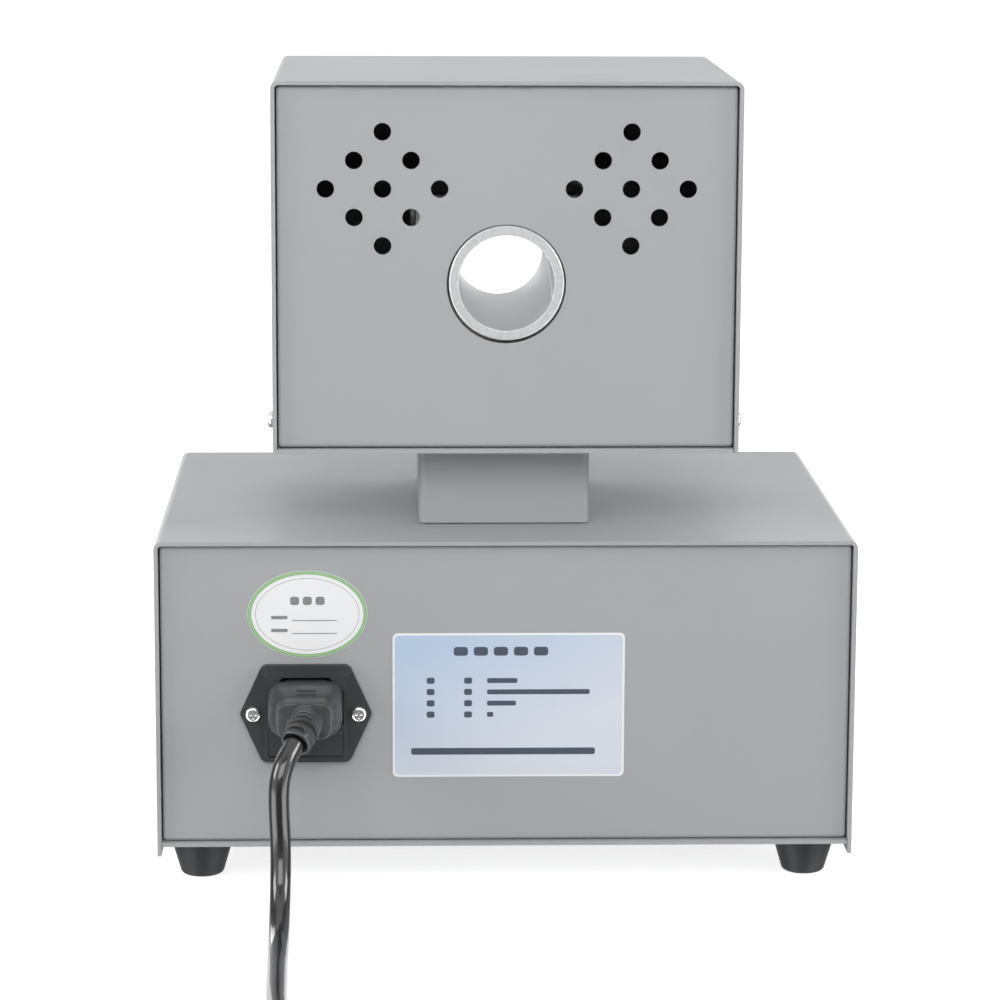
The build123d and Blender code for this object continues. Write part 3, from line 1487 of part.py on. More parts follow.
quarter_step = coil_pitch / 4
half_step = 1.5 * quarter_step
coil_z_upper = coil_z + coil_pitch
inner_angle = 90 * coil_in_quarters
reversed_angle = inner_angle + 180
outer_angle = reversed_angle + 90 * coil_out_quarters
inward, centre, radius = spiral((coil_x, coil_y), coil_radius, 0, coil_in_quarters, -quarter_step, coil_z)
centre, inner_radius = widen(centre, radius, inner_angle, -half_step)
first_climb = climb(centre, inner_radius, inner_angle, coil_z, coil_z_upper)
centre, radius = widen(centre, inner_radius, reversed_angle, half_step)
outward, centre, radius = spiral(
    centre, radius, reversed_angle, coil_out_quarters, quarter_step, coil_z_upper
)
centre, outer_radius = widen(centre, radius, outer_angle, half_step)
last_climb = climb(centre, outer_radius, outer_angle, coil_z_upper, plug_z)


def heading(angle):
    """The level direction of a turn at an angle."""
    return (-math.sin(math.radians(angle)), math.cos(math.radians(angle)), 0)


with BuildPart() as cord_coil:
    with BuildLine() as winding:
        Line((coil_x + coil_radius, coil_y - cord_diameter, coil_z), inward[0][0])
        for arc in inward:
            ThreePointArc(*arc)
        rising = TangentArc(first_climb[0], first_climb[1], tangent=heading(inner_angle))
        TangentArc(first_climb[1], first_climb[2], tangent=rising % 1)
        for arc in outward:
            ThreePointArc(*arc)
        rising = TangentArc(last_climb[0], last_climb[1], tangent=heading(outer_angle))
        last_arc = TangentArc(last_climb[1], last_climb[2], tangent=rising % 1)
        tail_end = last_arc @ 1 + (last_arc % 1) * coil_tail
        Line(last_arc @ 1, tail_end)
    coil_spine = winding.wire()
    with BuildSketch(Plane(origin=coil_spine @ 0, z_dir=coil_spine % 0)):
        Circle(cord_diameter / 2)
    sweep(path=coil_spine)
keep(cord_coil, "cord_coil")
coil_length = coil_spine.length
print("coil volume over section times length", round(cord_coil.part.volume / (section * coil_length), 4))
print("cord length with the coil", round(cord_length + coil_length, 1))
print("tail end", tail_end, "direction", last_arc % 1)
count = int(coil_length / 3.0)
samples = [coil_spine @ (number / count) for number in range(count + 1)]
apart = int(math.pi * cord_diameter / 2 / (coil_length / count)) + 1
gap = min(
    (samples[i] - samples[j]).length - cord_diameter
    for i in range(len(samples))
    for j in range(i + 3 * apart, len(samples))
)
print("least gap of the coil to itself", round(gap, 2))

# Tie round the coil's bundle of turns
tie_turn = math.radians(tie_angle)
tie_inner = inner_radius - cord_diameter / 2 - tie_play - tie_thickness
tie_outer = coil_radius + cord_diameter / 2 + tie_play + tie_thickness
with BuildPart() as cord_tie:
    tie_plane = Plane(
        origin=(coil_x, coil_y, 0),
        x_dir=(math.cos(tie_turn), math.sin(tie_turn), 0),
        z_dir=(-math.sin(tie_turn), math.cos(tie_turn), 0),
    )
    tie_high = coil_z_upper + cord_diameter / 2 + fit + tie_thickness
    with BuildSketch(tie_plane):
        with Locations(((tie_inner + tie_outer) / 2, -tie_high / 2)):
            RectangleRounded(tie_outer - tie_inner, tie_high, tie_corner)
            RectangleRounded(
                tie_outer - tie_inner - 2 * tie_thickness,
                tie_high - 2 * tie_thickness,
                tie_corner - tie_thickness,
                mode=Mode.SUBTRACT,
            )
    extrude(amount=tie_width / 2, both=True)
keep(cord_tie, "cord_tie")

# Mains plug: tapered relief, neck and round body with two pins, lying on its side
plug_axis = last_arc % 1
plug_plane = Plane(origin=tail_end, x_dir=(0, 0, 1), z_dir=plug_axis)
with BuildPart() as mains_plug:
    neck_end = plug_relief_length + plug_neck_length
    body_end = neck_end + plug_body_length
    for distance, diameter in (
        (0.0, plug_relief_start),
        (plug_relief_length, plug_relief_end),
    ):
        with BuildSketch(plug_plane.offset(distance)):
            Circle(diameter / 2)
    loft()
    for distance, diameter in (
        (plug_relief_length, plug_neck_diameter),
        (neck_end, plug_body_diameter),
    ):
        with BuildSketch(plug_plane.offset(distance)):
            Circle(diameter / 2)
    loft()
    with BuildSketch(plug_plane.offset(neck_end)):
        Circle(plug_body_diameter / 2)
    extrude(amount=plug_body_length)
    with BuildSketch(plug_plane.offset(body_end)):
        with GridLocations(0, plug_pin_spread, 1, 2):
            Circle(plug_pin_diameter / 2)
    extrude(amount=plug_pin_length)
    fillet(mains_plug.faces().sort_by(Axis.X)[0:2].edges(), plug_fillet)
keep(mains_plug, "mains_plug")

for piece in pieces:
    export_step(piece.part, f"parts/{piece.part.label}.step")
print("nodes", len(pieces))
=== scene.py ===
import math

import bmesh
import bpy
import numpy as np
from mathutils import Matrix, Vector


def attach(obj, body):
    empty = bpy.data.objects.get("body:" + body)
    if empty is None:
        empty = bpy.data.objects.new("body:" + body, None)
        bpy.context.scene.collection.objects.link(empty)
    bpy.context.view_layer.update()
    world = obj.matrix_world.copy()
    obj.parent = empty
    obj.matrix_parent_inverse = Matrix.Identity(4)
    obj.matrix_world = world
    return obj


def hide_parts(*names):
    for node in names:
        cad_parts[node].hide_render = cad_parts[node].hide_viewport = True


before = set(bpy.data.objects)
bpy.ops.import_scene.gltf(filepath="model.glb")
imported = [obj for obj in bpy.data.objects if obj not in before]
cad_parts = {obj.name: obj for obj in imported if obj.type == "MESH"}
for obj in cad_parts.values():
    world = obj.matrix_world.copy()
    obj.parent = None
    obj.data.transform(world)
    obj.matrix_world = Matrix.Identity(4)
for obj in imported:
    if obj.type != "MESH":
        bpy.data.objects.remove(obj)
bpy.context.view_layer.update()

# Every length below is in millimetres in the row frame, turned to metres where it goes into Blender.
# The controls face -Y, and the mains inlet, the labels and the vent holes face +Y.
MM = 0.001

BASE_FACE = 95.0
INLET_X = 75.8
CONNECTOR_Z = 73.55
FRAME_FACE = 99.0
TUBE_Z = 230.4
TUBE_RADIUS = 21.75
BORE_RADIUS = 18.0
TUBE_REAR = 81.9
TUBE_LENGTH = 109.0
COIL_X, COIL_Y, COIL_Z = 28.5, 338.0, 5.3
PLUG_X, PLUG_Y, PLUG_Z = 8.3, 388.0, 19.3


# Mesh

def skin(points, around=True, along=False, caps=False):
    """A grid of points as quads. around joins the last column to the first, along joins the last row
    to the first, and caps close the first and last row with a fan to their middle."""
    rows, columns = points.shape[:2]
    index = np.arange(rows * columns).reshape(rows, columns)
    if around:
        index = np.hstack([index, index[:, :1]])
    if along:
        index = np.vstack([index, index[:1]])
    quads = np.stack([index[:-1, :-1], index[:-1, 1:], index[1:, 1:], index[1:, :-1]], -1).reshape(-1, 4)
    vertices = points.reshape(-1, 3)
    faces = [quads]
    if caps:
        vertices = np.vstack([vertices, points[[0, -1]].mean(1)])
        for row, middle in ((index[0], rows * columns), (index[-1], rows * columns + 1)):
            faces.append(np.stack([row[:-1], row[1:], np.full(len(row) - 1, middle)], -1))
    return vertices, faces


def piece(name, shells, material, body, replaced=(), sharp=38):
    """One object from closed skins: doubles merged, normals turned outward, and edges over `sharp` degrees
    kept hard."""
    vertices, faces, start = [], [], 0
    for points, polygons in shells:
        vertices.append(points)
        faces += [corners for group in polygons for corners in (group + start).tolist()]
        start += len(points)
    mesh = bpy.data.meshes.new(name)
    mesh.from_pydata(np.vstack(vertices) * MM, [], faces)
    welded = bmesh.new()
    welded.from_mesh(mesh)
    bmesh.ops.remove_doubles(welded, verts=welded.verts, dist=1e-7)
    bmesh.ops.dissolve_degenerate(welded, edges=welded.edges, dist=1e-8)
    bmesh.ops.recalc_face_normals(welded, faces=welded.faces)
    welded.to_mesh(mesh)
    welded.free()
    mesh.shade_smooth()
    mesh.set_sharp_from_angle(angle=math.radians(sharp))
    made = bpy.data.objects.new(name, mesh)
    bpy.context.scene.collection.objects.link(made)
    mesh.materials.append(material)
    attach(made, body)
    if replaced:
        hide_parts(*replaced)
    return made


def rounded(width, height, corner, steps=9):
    """Outline of a rectangle with round corners: a quarter circle about each corner's middle, one after
    another."""
    quarter = np.arange(4)[:, None] * math.pi / 2
    angle = quarter + np.linspace(0, math.pi / 2, steps)
    side_x = np.array([1, -1, -1, 1])[:, None]
    side_z = np.array([1, 1, -1, -1])[:, None]
    across = side_x * (width / 2 - corner) + corner * np.cos(angle)
    upward = side_z * (height / 2 - corner) + corner * np.sin(angle)
    return np.stack([across.ravel(), upward.ravel()], -1)


def oval(width, height, steps=96):
    """Outline of an ellipse: half the width times the cosine, half the height times the sine."""
    angle = np.arange(steps) * 2 * math.pi / steps
    return np.stack([width / 2 * np.cos(angle), height / 2 * np.sin(angle)], -1)


def on_plane(outline, origin, across, upward, lift=0.0):
    """Outline points (u, v) as origin + u across + v upward, moved by lift along across x upward."""
    across, upward = np.array(across, float), np.array(upward, float)
    lifted_origin = np.array(origin) + lift * np.cross(across, upward)
    return lifted_origin + outline[:, :1] * across + outline[:, 1:] * upward


def print_of(outline, origin, across, upward, thickness=0.03, sink=0.02):
    """A thin closed plate with that outline, printed on a plane and slightly sunk into it."""
    layers = [on_plane(outline, origin, across, upward, lift) for lift in (-sink, thickness)]
    return skin(np.stack(layers), caps=True)


def ring_print(outer, inner, origin, across, upward, thickness=0.03, sink=0.02):
    """A thin closed band between two outlines with the same number of points."""
    corners = [(outer, -sink), (outer, thickness), (inner, thickness), (inner, -sink)]
    layers = [on_plane(outline, origin, across, upward, lift) for outline, lift in corners]
    return skin(np.stack(layers), along=True)


def turned(profile, origin, axis, steps=96, closed=True):
    """A profile of (distance along the axis, radius) turned round the axis: closed profiles join up,
    open ones end on the axis."""
    axis = np.array(axis, float)
    side = np.cross(axis, (0, 0, 1)) if abs(axis[2]) < 0.9 else np.array((1.0, 0, 0))
    other = np.cross(axis, side)
    angle = np.arange(steps) * 2 * math.pi / steps
    spoke = np.cos(angle)[:, None] * side + np.sin(angle)[:, None] * other
    profile = np.array(profile, float)
    points = np.array(origin) + profile[:, :1, None] * axis + profile[:, 1:, None] * spoke
    return skin(points, along=closed)


# Materials

def linear(colour):
    """sRGB hex to linear: c / 12.92 up to 0.04045, and ((c + 0.055) / 1.055) to the power 2.4 above."""
    channels = np.array([int(colour[i:i + 2], 16) for i in (1, 3, 5)]) / 255
    return (*np.where(channels <= 0.04045, channels / 12.92, ((channels + 0.055) / 1.055) ** 2.4), 1.0)


def add(tree, kind, inputs=(), **settings):
    """A node of that kind with its settings. Each input gets a value, or a link if it is given an output."""
    made = tree.nodes.new(kind)
    for name, value in settings.items():
        setattr(made, name, value)
    for name, value in dict(inputs).items():
        if isinstance(value, bpy.types.NodeSocket):
            tree.links.new(value, made.inputs[name])
        else:
            made.inputs[name].default_value = value
    return made


def blend_colours(tree, share, low, high):
    """Colour that runs from low to high as share goes from 0 to 1."""
    return add(tree, "ShaderNodeMix", {0: share, 6: low, 7: high}, data_type="RGBA").outputs[2]


def spread(tree, value, low, high, to_low=0.0, to_high=1.0):
    """value taken from low..high to to_low..to_high, and held at both ends."""
    ends = {"Value": value, "From Min": low, "From Max": high, "To Min": to_low, "To Max": to_high}
    return add(tree, "ShaderNodeMapRange", ends).outputs["Result"]


def arithmetic(tree, operation, first, second=0.0):
    """One number from two."""
    return add(tree, "ShaderNodeMath", {0: first, 1: second}, operation=operation).outputs[0]


def finish(name, light, dark, rough, metal=0.0, cloud=45.0, grain=1.4, depth=0.012, uneven=0.05, **sockets):
    """A surface in Object coordinates. Its colour runs between light and dark in clouds `cloud` mm wide,
    roughness strays by `uneven` with them, and a grain `grain` mm wide stands `depth` mm high.
    Returns the material, its node tree, its shader and the Object coordinates."""
    made = bpy.data.materials.new(name)
    made.use_nodes = True
    tree = made.node_tree
    shader = tree.nodes["Principled BSDF"]
    place = add(tree, "ShaderNodeTexCoord").outputs["Object"]
    broad = {"Vector": place, "Scale": 1 / (cloud * MM), "Detail": 4.0}
    clouds = add(tree, "ShaderNodeTexNoise", broad).outputs[0]
    share = spread(tree, clouds, 0.35, 0.65)
    tree.links.new(blend_colours(tree, share, linear(light), linear(dark)), shader.inputs["Base Color"])
    tree.links.new(spread(tree, clouds, 0.3, 0.7, rough - uneven, rough + uneven), shader.inputs["Roughness"])
    shader.inputs["Metallic"].default_value = metal
    narrow = {"Vector": place, "Scale": 1 / (grain * MM), "Detail": 2.0}
    fine = add(tree, "ShaderNodeTexNoise", narrow).outputs[0]
    bump = add(tree, "ShaderNodeBump", {"Height": fine, "Distance": depth * MM, "Strength": 1.0})
    tree.links.new(bump.outputs[0], shader.inputs["Normal"])
    for socket, value in sockets.items():
        shader.inputs[socket.replace("_", " ")].default_value = value
    return made, tree, shader, place


def recolour(tree, shader, share, colour):
    """Lays a second colour over the shader's own one where share is 1."""
    before = shader.inputs["Base Color"].links[0].from_socket
    tree.links.new(blend_colours(tree, share, before, linear(colour)), shader.inputs["Base Color"])


def parts_of(tree, place):
    """The X, Y and Z outputs of a place."""
    return add(tree, "ShaderNodeSeparateXYZ", {"Vector": place}).outputs


# Powder coat on sheet steel, baked: an even satin grey with a faint orange peel
paint = finish(
    "powder_coat_grey", "#AFB0B2", "#ABADAF", 0.5, cloud=70, grain=1.8, depth=0.010, uneven=0.03
)[0]
# Zinc-plated or nickel-plated steel, headed and rolled: bright, slightly cloudy, with soft scratches
plated = finish(
    "nickel_plated_steel", "#E2E2E1", "#D3D4D5", 0.26, metal=1.0, cloud=2.5, grain=0.5, depth=0.02
)[0]
# Mill-finished aluminium, extruded: pale satin metal
mill = finish(
    "extruded_aluminium", "#C6C8CA", "#B4B6B8", 0.42, metal=1.0, cloud=14, grain=0.8
)[0]

# Stainless tube, sawn and deburred at its ends and drawn inside: frosted pale ends, a satin bore
tube_metal, tree, shader, place = finish(
    "drawn_stainless_tube", "#D6D7D8", "#C4C5C6", 0.42, metal=0.4, cloud=1.6, grain=0.45, depth=0.04
)
axes = parts_of(tree, place)
above_axis = arithmetic(tree, "SUBTRACT", axes["Z"], TUBE_Z * MM)
squares = [arithmetic(tree, "POWER", part, 2.0) for part in (axes["X"], above_axis)]
radius = arithmetic(tree, "SQRT", arithmetic(tree, "ADD", *squares))
bore = spread(tree, radius, BORE_RADIUS * MM, (BORE_RADIUS + 0.25) * MM, 1.0, 0.0)
recolour(tree, shader, bore, "#B4B6B8")
# A painted highlight runs along the bore as a bright, matt white streak: its angle turns slowly with the
# depth
highlight_angle = spread(tree, axes["Y"], TUBE_REAR * MM, (TUBE_REAR - TUBE_LENGTH) * MM, -0.30, 0.23)
round_bore = arithmetic(tree, "ARCTAN2", above_axis, arithmetic(tree, "MULTIPLY", axes["X"], -1.0))
off_highlight = arithmetic(tree, "ABSOLUTE", arithmetic(tree, "SUBTRACT", round_bore, highlight_angle))
# mark here is the painted highlight streak, white laid over the bore and less metallic there
mark = arithmetic(tree, "MULTIPLY", spread(tree, off_highlight, 0.05, 0.015), bore)
recolour(tree, shader, mark, "#FFFFFF")
bore_beside_highlight = arithmetic(tree, "SUBTRACT", bore, mark)
tree.links.new(spread(tree, bore_beside_highlight, 0, 1, 0.4, 0.65), shader.inputs["Metallic"])
before = shader.inputs["Roughness"].links[0].from_socket
worn = add(tree, "ShaderNodeMix", {0: bore, 2: before, 3: 0.4}).outputs[0]
tree.links.new(worn, shader.inputs["Roughness"])

# Ceramic fibre, vacuum formed: chalky off-white with darker specks of binder
fibre, tree, shader, place = finish(
    "vacuum_formed_ceramic_fibre", "#C9C7C1", "#B3B0AA", 0.92, cloud=6, grain=1.0, depth=0.25
)
specks = add(tree, "ShaderNodeTexVoronoi", {"Vector": place, "Scale": 1 / (1.6 * MM)}).outputs["Distance"]
recolour(tree, shader, spread(tree, specks, 0.22, 0.1), "#7C7A75")

# Black rubber, compression moulded: satin charcoal with a trace of bloom
rubber = finish(
    "moulded_black_rubber", "#313234", "#292A2C", 0.55, cloud=9, grain=0.9, depth=0.02, Sheen_Weight=0.08,
    Specular_IOR_Level=0.25
)[0]
# Glass-filled nylon, injection moulded with a spark-eroded tool: dark grey-black, fine even grain
nylon = finish(
    "moulded_black_nylon", "#38393B", "#313234", 0.4, cloud=18, grain=0.8, depth=0.03
)[0]
# Soft PVC, injection moulded: slightly lighter and smoother than the nylon
soft_pvc = finish(
    "moulded_black_pvc", "#3A3B3D", "#303133", 0.34, cloud=10, grain=1.1, depth=0.02
)[0]
# The inside of the strain relief's slits: near-black, painted shade so that the slits read dark
slit_painted_shade = finish(
    "unlit_slit_black", "#070708", "#050506", 0.9, cloud=10, grain=1.1, depth=0.02
)[0]
# PVC jacket, extruded: glossy black, so that the lamps run along it as two long streaks
jacket = finish(
    "extruded_black_pvc", "#141416", "#101012", 0.3, cloud=22, grain=2.6, depth=0.006, uneven=0.03,
    Coat_Weight=1.0, Coat_IOR=1.5, Coat_Roughness=0.07, Specular_IOR_Level=0.3,
)[0]
# ABS, injection moulded with a fine texture: the bezels of the two instruments
abs_black = finish(
    "textured_black_abs", "#2B2C2E", "#262729", 0.46, cloud=25, grain=0.7, depth=0.03
)[0]
# Silicone rubber keys, moulded: soft mid grey
key_grey = finish(
    "moulded_grey_silicone", "#8B8E92", "#7F8286", 0.6, cloud=6, grain=0.8, depth=0.015
)[0]
# Smoked acrylic, polished: dark, so that the unlit digits only just show
smoked = finish(
    "smoked_acrylic", "#4A2F2F", "#442B2B", 0.05, cloud=60, grain=6.0, depth=0.002, uneven=0.02,
    Transmission_Weight=0.9, IOR=1.49,
)[0]
# Epoxy glass board with solder mask: green with the weave just showing
board_green = finish(
    "solder_masked_board", "#1F5A3A", "#1A4E33", 0.35, cloud=12, grain=1.2, depth=0.02
)[0]
# Display blocks' segments, unlit: milky red-grey plastic
segment = finish("unlit_display_segment", "#C9B8B4", "#BDACA8", 0.4, cloud=4, grain=0.5)[0]
# Vinyl label stock, coated: smooth near-white paper look
vinyl = finish(
    "coated_vinyl_label", "#FDFDFE", "#F9FAFC", 0.38, cloud=30, grain=1.0, depth=0.004
)[0]
# Offset print on vinyl: pale blue at the upper corner of the photographed left, nearly white below
sky_print, tree, shader, place = finish(
    "printed_blue_vinyl", "#C3D6EC", "#BED2EB", 0.38, cloud=30, grain=1.0, depth=0.004
)
axes = parts_of(tree, place)
slopes = [arithmetic(tree, "MULTIPLY", axes[name], slope) for name, slope in (("X", -7.0), ("Z", -14.0))]
fade = arithmetic(tree, "ADD", *slopes)
recolour(tree, shader, spread(tree, fade, -1.55, -0.7), "#E1E6F0")
# Dark blue-black ink of the generic bars
ink = finish(
    "printed_dark_ink", "#4A5262", "#424A5A", 0.5, cloud=4, grain=0.5, depth=0.004
)[0]
grey_ink = finish(
    "printed_grey_ink", "#8C9090", "#838787", 0.5, cloud=4, grain=0.5, depth=0.004
)[0]
green_ink = finish(
    "printed_green_ink", "#6FA668", "#659C5F", 0.5, cloud=5, grain=0.5, depth=0.004
)[0]
light_green_ink = finish(
    "printed_light_green_ink", "#A9D19B", "#A0CB92", 0.5, cloud=5, grain=0.5, depth=0.004
)[0]
white_ink = finish(
    "printed_white_ink", "#E8E8E6", "#E0E0DE", 0.55, cloud=3, grain=0.4, depth=0.006
)[0]
# Chromed brass bezel and a translucent polycarbonate lens of the pilot lamp
chrome = finish(
    "chromed_brass", "#E4E6E8", "#D6D8DA", 0.1, metal=1.0, cloud=6, grain=1.0, depth=0.004, uneven=0.02
)[0]
lens_red = finish(
    "tinted_polycarbonate", "#C8322A", "#B82A24", 0.18, cloud=5, grain=1.0, depth=0.004,
    Transmission_Weight=0.55, IOR=1.585,
)[0]
# Tin-plated brass contacts, stamped
brass = finish("tinned_brass", "#CFC6AE", "#BEB59C", 0.3, metal=1.0, cloud=3, grain=0.5)[0]
# Silicone rubber over stranded wire, extruded: matt warm grey leads
lead_grey = finish(
    "silicone_lead_insulation", "#B4B2AC", "#A5A39D", 0.55, cloud=15, grain=1.5
)[0]
# Nylon hook-and-loop tape, woven and cut: matt black with a short pile
pile = finish(
    "woven_black_tape", "#2A2A2C", "#1E1E20", 0.9, cloud=1.2, grain=0.7, depth=0.18, Sheen_Weight=0.3
)[0]
# Switch rocker: gloss moulded nylon
rocker_black = finish(
    "polished_black_nylon", "#252628", "#202123", 0.28, cloud=20, grain=1.5, depth=0.006
)[0]

# Glass fuse with a nickel cap at each end: by the distance from the drawer's middle
fuse_finish, tree, shader, place = finish(
    "fuse_glass_and_caps", "#DCE2E0", "#CFD6D4", 0.12, cloud=5, grain=1.0, depth=0.003
)
offset = arithmetic(tree, "ABSOLUTE", arithmetic(tree, "SUBTRACT", parts_of(tree, place)["X"], INLET_X * MM))
cap = spread(tree, offset, 4.9 * MM, 5.1 * MM)
tree.links.new(cap, shader.inputs["Metallic"])
tree.links.new(spread(tree, cap, 0, 1, 0.85, 0.0), shader.inputs["Transmission Weight"])

SLOT_FINISH = {
    "grey_paint": paint,
    "steel": plated,
    "tube_metal": tube_metal,
    "insulation": fibre,
    "black_rubber": rubber,
    "black_plastic": nylon,
    "gloss_black": soft_pvc,
    "label": vinyl,
    "dark_window": smoked,
    "board": board_green,
    "key": key_grey,
    "lamp_ring": chrome,
    "lamp_lens": lens_red,
    "fuse_glass": fuse_finish,
    "contact": brass,
    "wire": lead_grey,
}
NODE_FINISH = {
    "rocker": rocker_black,
    "relay_heatsink": mill,
    "thermostat_bezel": abs_black,
    "timer_bezel": abs_black,
}
for name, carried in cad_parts.items():
    for place in carried.material_slots:
        own = place.material.name.split(".")[0]
        if own in SLOT_FINISH:
            place.material = NODE_FINISH.get(name, SLOT_FINISH[own])


# Soft edges of carried-over solids: the width of each node's edge rounding
EDGE_WIDTHS = {
    "base_cover": 0.3,
    "upper_cover": 0.3,
    "base_rear_panel": 0.15,
    "base_front_panel": 0.15,
    "upper_rear_panel": 0.15,
    "upper_front_panel": 0.15,
    "base_bottom_plate": 0.35,
    "upper_bottom_plate": 0.35,
    "post": 0.3,
    "inlet_body": 0.3,
    "fuse_drawer": 0.15,
    "switch_frame": 0.2,
    "thermostat_bezel": 0.25,
    "timer_bezel": 0.25,
    "cover_screws": 0.12,
    "panel_screws": 0.12,
    "foot_screws": 0.12,
    "inlet_screws": 0.1,
    "front_sleeve": 0.2,
    "rocker": 0.35,
}
for name, width in EDGE_WIDTHS.items():
    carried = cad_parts[name]
    weld = carried.modifiers.new("joined", "WELD")
    weld.merge_threshold = 1e-6
    # The inlet's face holds openings, which the dissolve step would fill
    if name != "inlet_body":
        flat = carried.modifiers.new("flat", "DECIMATE")
        flat.decimate_type = "DISSOLVE"
        flat.angle_limit = math.radians(0.5)
    edge = carried.modifiers.new("edges", "BEVEL")
    edge.width = width * MM
    edge.segments = 2
    edge.limit_method = "ANGLE"
    edge.angle_limit = math.radians(35)
    edge.use_clamp_overlap = True
    shading = carried.modifiers.new("shading", "WEIGHTED_NORMAL")
    shading.weight = 100


# Heating tube: a wall between the bore and the outside, chamfered at both ends
EDGE_BREAK = 0.8
tube_wall = [
    (0, BORE_RADIUS + 0.3), (0, TUBE_RADIUS - 0.55), (0.25, TUBE_RADIUS - 0.2), (0.7, TUBE_RADIUS),
    (TUBE_LENGTH - EDGE_BREAK, TUBE_RADIUS), (TUBE_LENGTH, TUBE_RADIUS - EDGE_BREAK),
    (TUBE_LENGTH, BORE_RADIUS + EDGE_BREAK), (TUBE_LENGTH - EDGE_BREAK, BORE_RADIUS),
    (0.35, BORE_RADIUS), (0.08, BORE_RADIUS + 0.1),
]
tube_shell = turned(tube_wall, (0, TUBE_REAR, TUBE_Z), (0, -1, 0), 192)
piece("heating_tube", [tube_shell], tube_metal, "machine", ["heater_tube"], sharp=20)


# Mains connector

def connector_rings(sections):
    """Rounded rectangles of (distance from the inlet's frame, width, height, corner, rise), one behind
    another."""
    rings = []
    for distance, width, height, corner, rise in sections:
        middle = (INLET_X, FRAME_FACE + distance, CONNECTOR_Z + rise)
        rings.append(on_plane(rounded(width, height, corner), middle, (-1, 0, 0), (0, 0, 1)))
    return np.stack(rings)


GRIP = (
    (0.8, 25.4, 16.6, 3.6, -0.9), (1.1, 26.4, 17.5, 4.0, -0.9), (2.2, 27.0, 18.0, 4.3, -0.8),
    (7.0, 27.6, 19.0, 4.8, -0.3), (12.0, 27.6, 19.0, 5.2, -0.3), (16.0, 27.2, 18.6, 5.6, -0.4),
    (18.6, 26.0, 17.6, 5.8, -0.45), (20.6, 24.4, 16.4, 5.4, -0.4), (22.0, 23.2, 15.5, 5.0, -0.4),
    (22.5, 22.2, 14.9, 4.6, -0.4), (23.2, 21.6, 14.5, 4.4, -0.4), (28.3, 21.0, 14.2, 4.4, -0.4),
    (28.75, 20.8, 14.0, 4.3, -0.4), (29.1, 20.3, 13.5, 4.1, -0.4), (29.3, 19.5, 12.7, 3.7, -0.4),
)
grip_shell = skin(connector_rings(GRIP), caps=True)
nose_outline = np.array([(-12.0, -8.2), (12.0, -8.2), (12.0, 3.6), (7.4, 8.2), (-7.4, 8.2), (-12.0, 3.6)])
NOSE_Z = 73.5
nose_rings = np.stack([
    on_plane(nose_outline, (INLET_X, FRAME_FACE + distance, NOSE_Z), (-1, 0, 0), (0, 0, 1))
    for distance in (-15.0, 0.0, 1.6)
])
shells = [grip_shell, skin(nose_rings, caps=True)]
# Two low ribs across the grip's top
RIB_X = INLET_X - 0.6
for y, z in ((116.7, 82.1), (119.6, 81.35)):
    rib = on_plane(rounded(7.4, 1.0, 0.46, 5), (RIB_X, y, z), (-1, 0, 0), (0, 1, 0))
    low = rib - np.array((0, 0, 0.8))
    crown = on_plane(rounded(6.8, 0.4, 0.18, 5), (RIB_X, y, z + 0.5), (-1, 0, 0), (0, 1, 0))
    shells.append(skin(np.stack([low, rib + np.array((0, 0, 0.1)), crown]), caps=True))
piece("mains_connector", shells, soft_pvc, "machine", ["connector"], sharp=30)


# Strain relief

RELIEF_START = 128.2
RELIEF_Z = 73.15
STRAIGHT = 8.6
BEND_RADIUS = 23.0
DROOP = math.radians(30)
LEAN = math.radians(28)
RELIEF_LENGTH = STRAIGHT + BEND_RADIUS * DROOP
RELIEF_RADIUS = 6.9
RELIEF_TAPER = 1.15
SLIT_HALF_WIDTH = 0.62
SLIT_DEPTH = 2.2
CORE_COVER = 0.35


def relief_frames(distance):
    """Middle, side and upward direction across the strain relief at each distance: straight at first, then
    an arc that droops, its sideways lean growing with the droop."""
    droop = np.clip((distance - STRAIGHT) / BEND_RADIUS, 0, None)
    share = droop / DROOP
    ahead = BEND_RADIUS * np.sin(droop) + np.minimum(distance, STRAIGHT)
    swing = BEND_RADIUS * np.sin(droop) * np.tan(LEAN * share / 2)
    fall = BEND_RADIUS * (1 - np.cos(droop))
    middle = np.stack([INLET_X + swing, RELIEF_START + ahead, RELIEF_Z - fall], -1)
    turn = LEAN * share
    forward = np.stack([np.sin(turn) * np.cos(droop), np.cos(turn) * np.cos(droop), -np.sin(droop)], -1)
    side = np.stack([-np.cos(turn), np.sin(turn), 0 * turn], -1)
    return middle, side, np.cross(forward, side)


def tube_about(distance, radius_grid, angle):
    """Points at each distance along the strain relief: its middle, plus the radius times the angle's cosine
    to the side and its sine upward."""
    middle, side, upward = relief_frames(distance)
    aside = (radius_grid * np.cos(angle))[..., None] * side[:, None]
    above = (radius_grid * np.sin(angle))[..., None] * upward[:, None]
    return middle[:, None] + aside + above


# Rows run along the outside to the mouth, over its lip and back inside: distance and radius
outside = np.linspace(-0.8, RELIEF_LENGTH - 1.6, 150)
taper = RELIEF_RADIUS - RELIEF_TAPER * np.clip(outside / RELIEF_LENGTH, 0, 1)
collar = 0.35 * np.exp(-((outside - 0.6) / 0.8) ** 4)
lip = np.array([
    (-1.5, 5.75), (-1.1, 5.9), (-0.4, 5.9), (-0.05, 5.65), (0.05, 5.2), (-0.05, 4.75), (-0.6, 4.4),
    (-3.0, 4.0),
])
lip[:, 0] += RELIEF_LENGTH
distance = np.concatenate([outside, lip[:, 0]])
radius = np.concatenate([taper + collar, lip[:, 1]])
angle = np.arange(72) * 2 * math.pi / 72
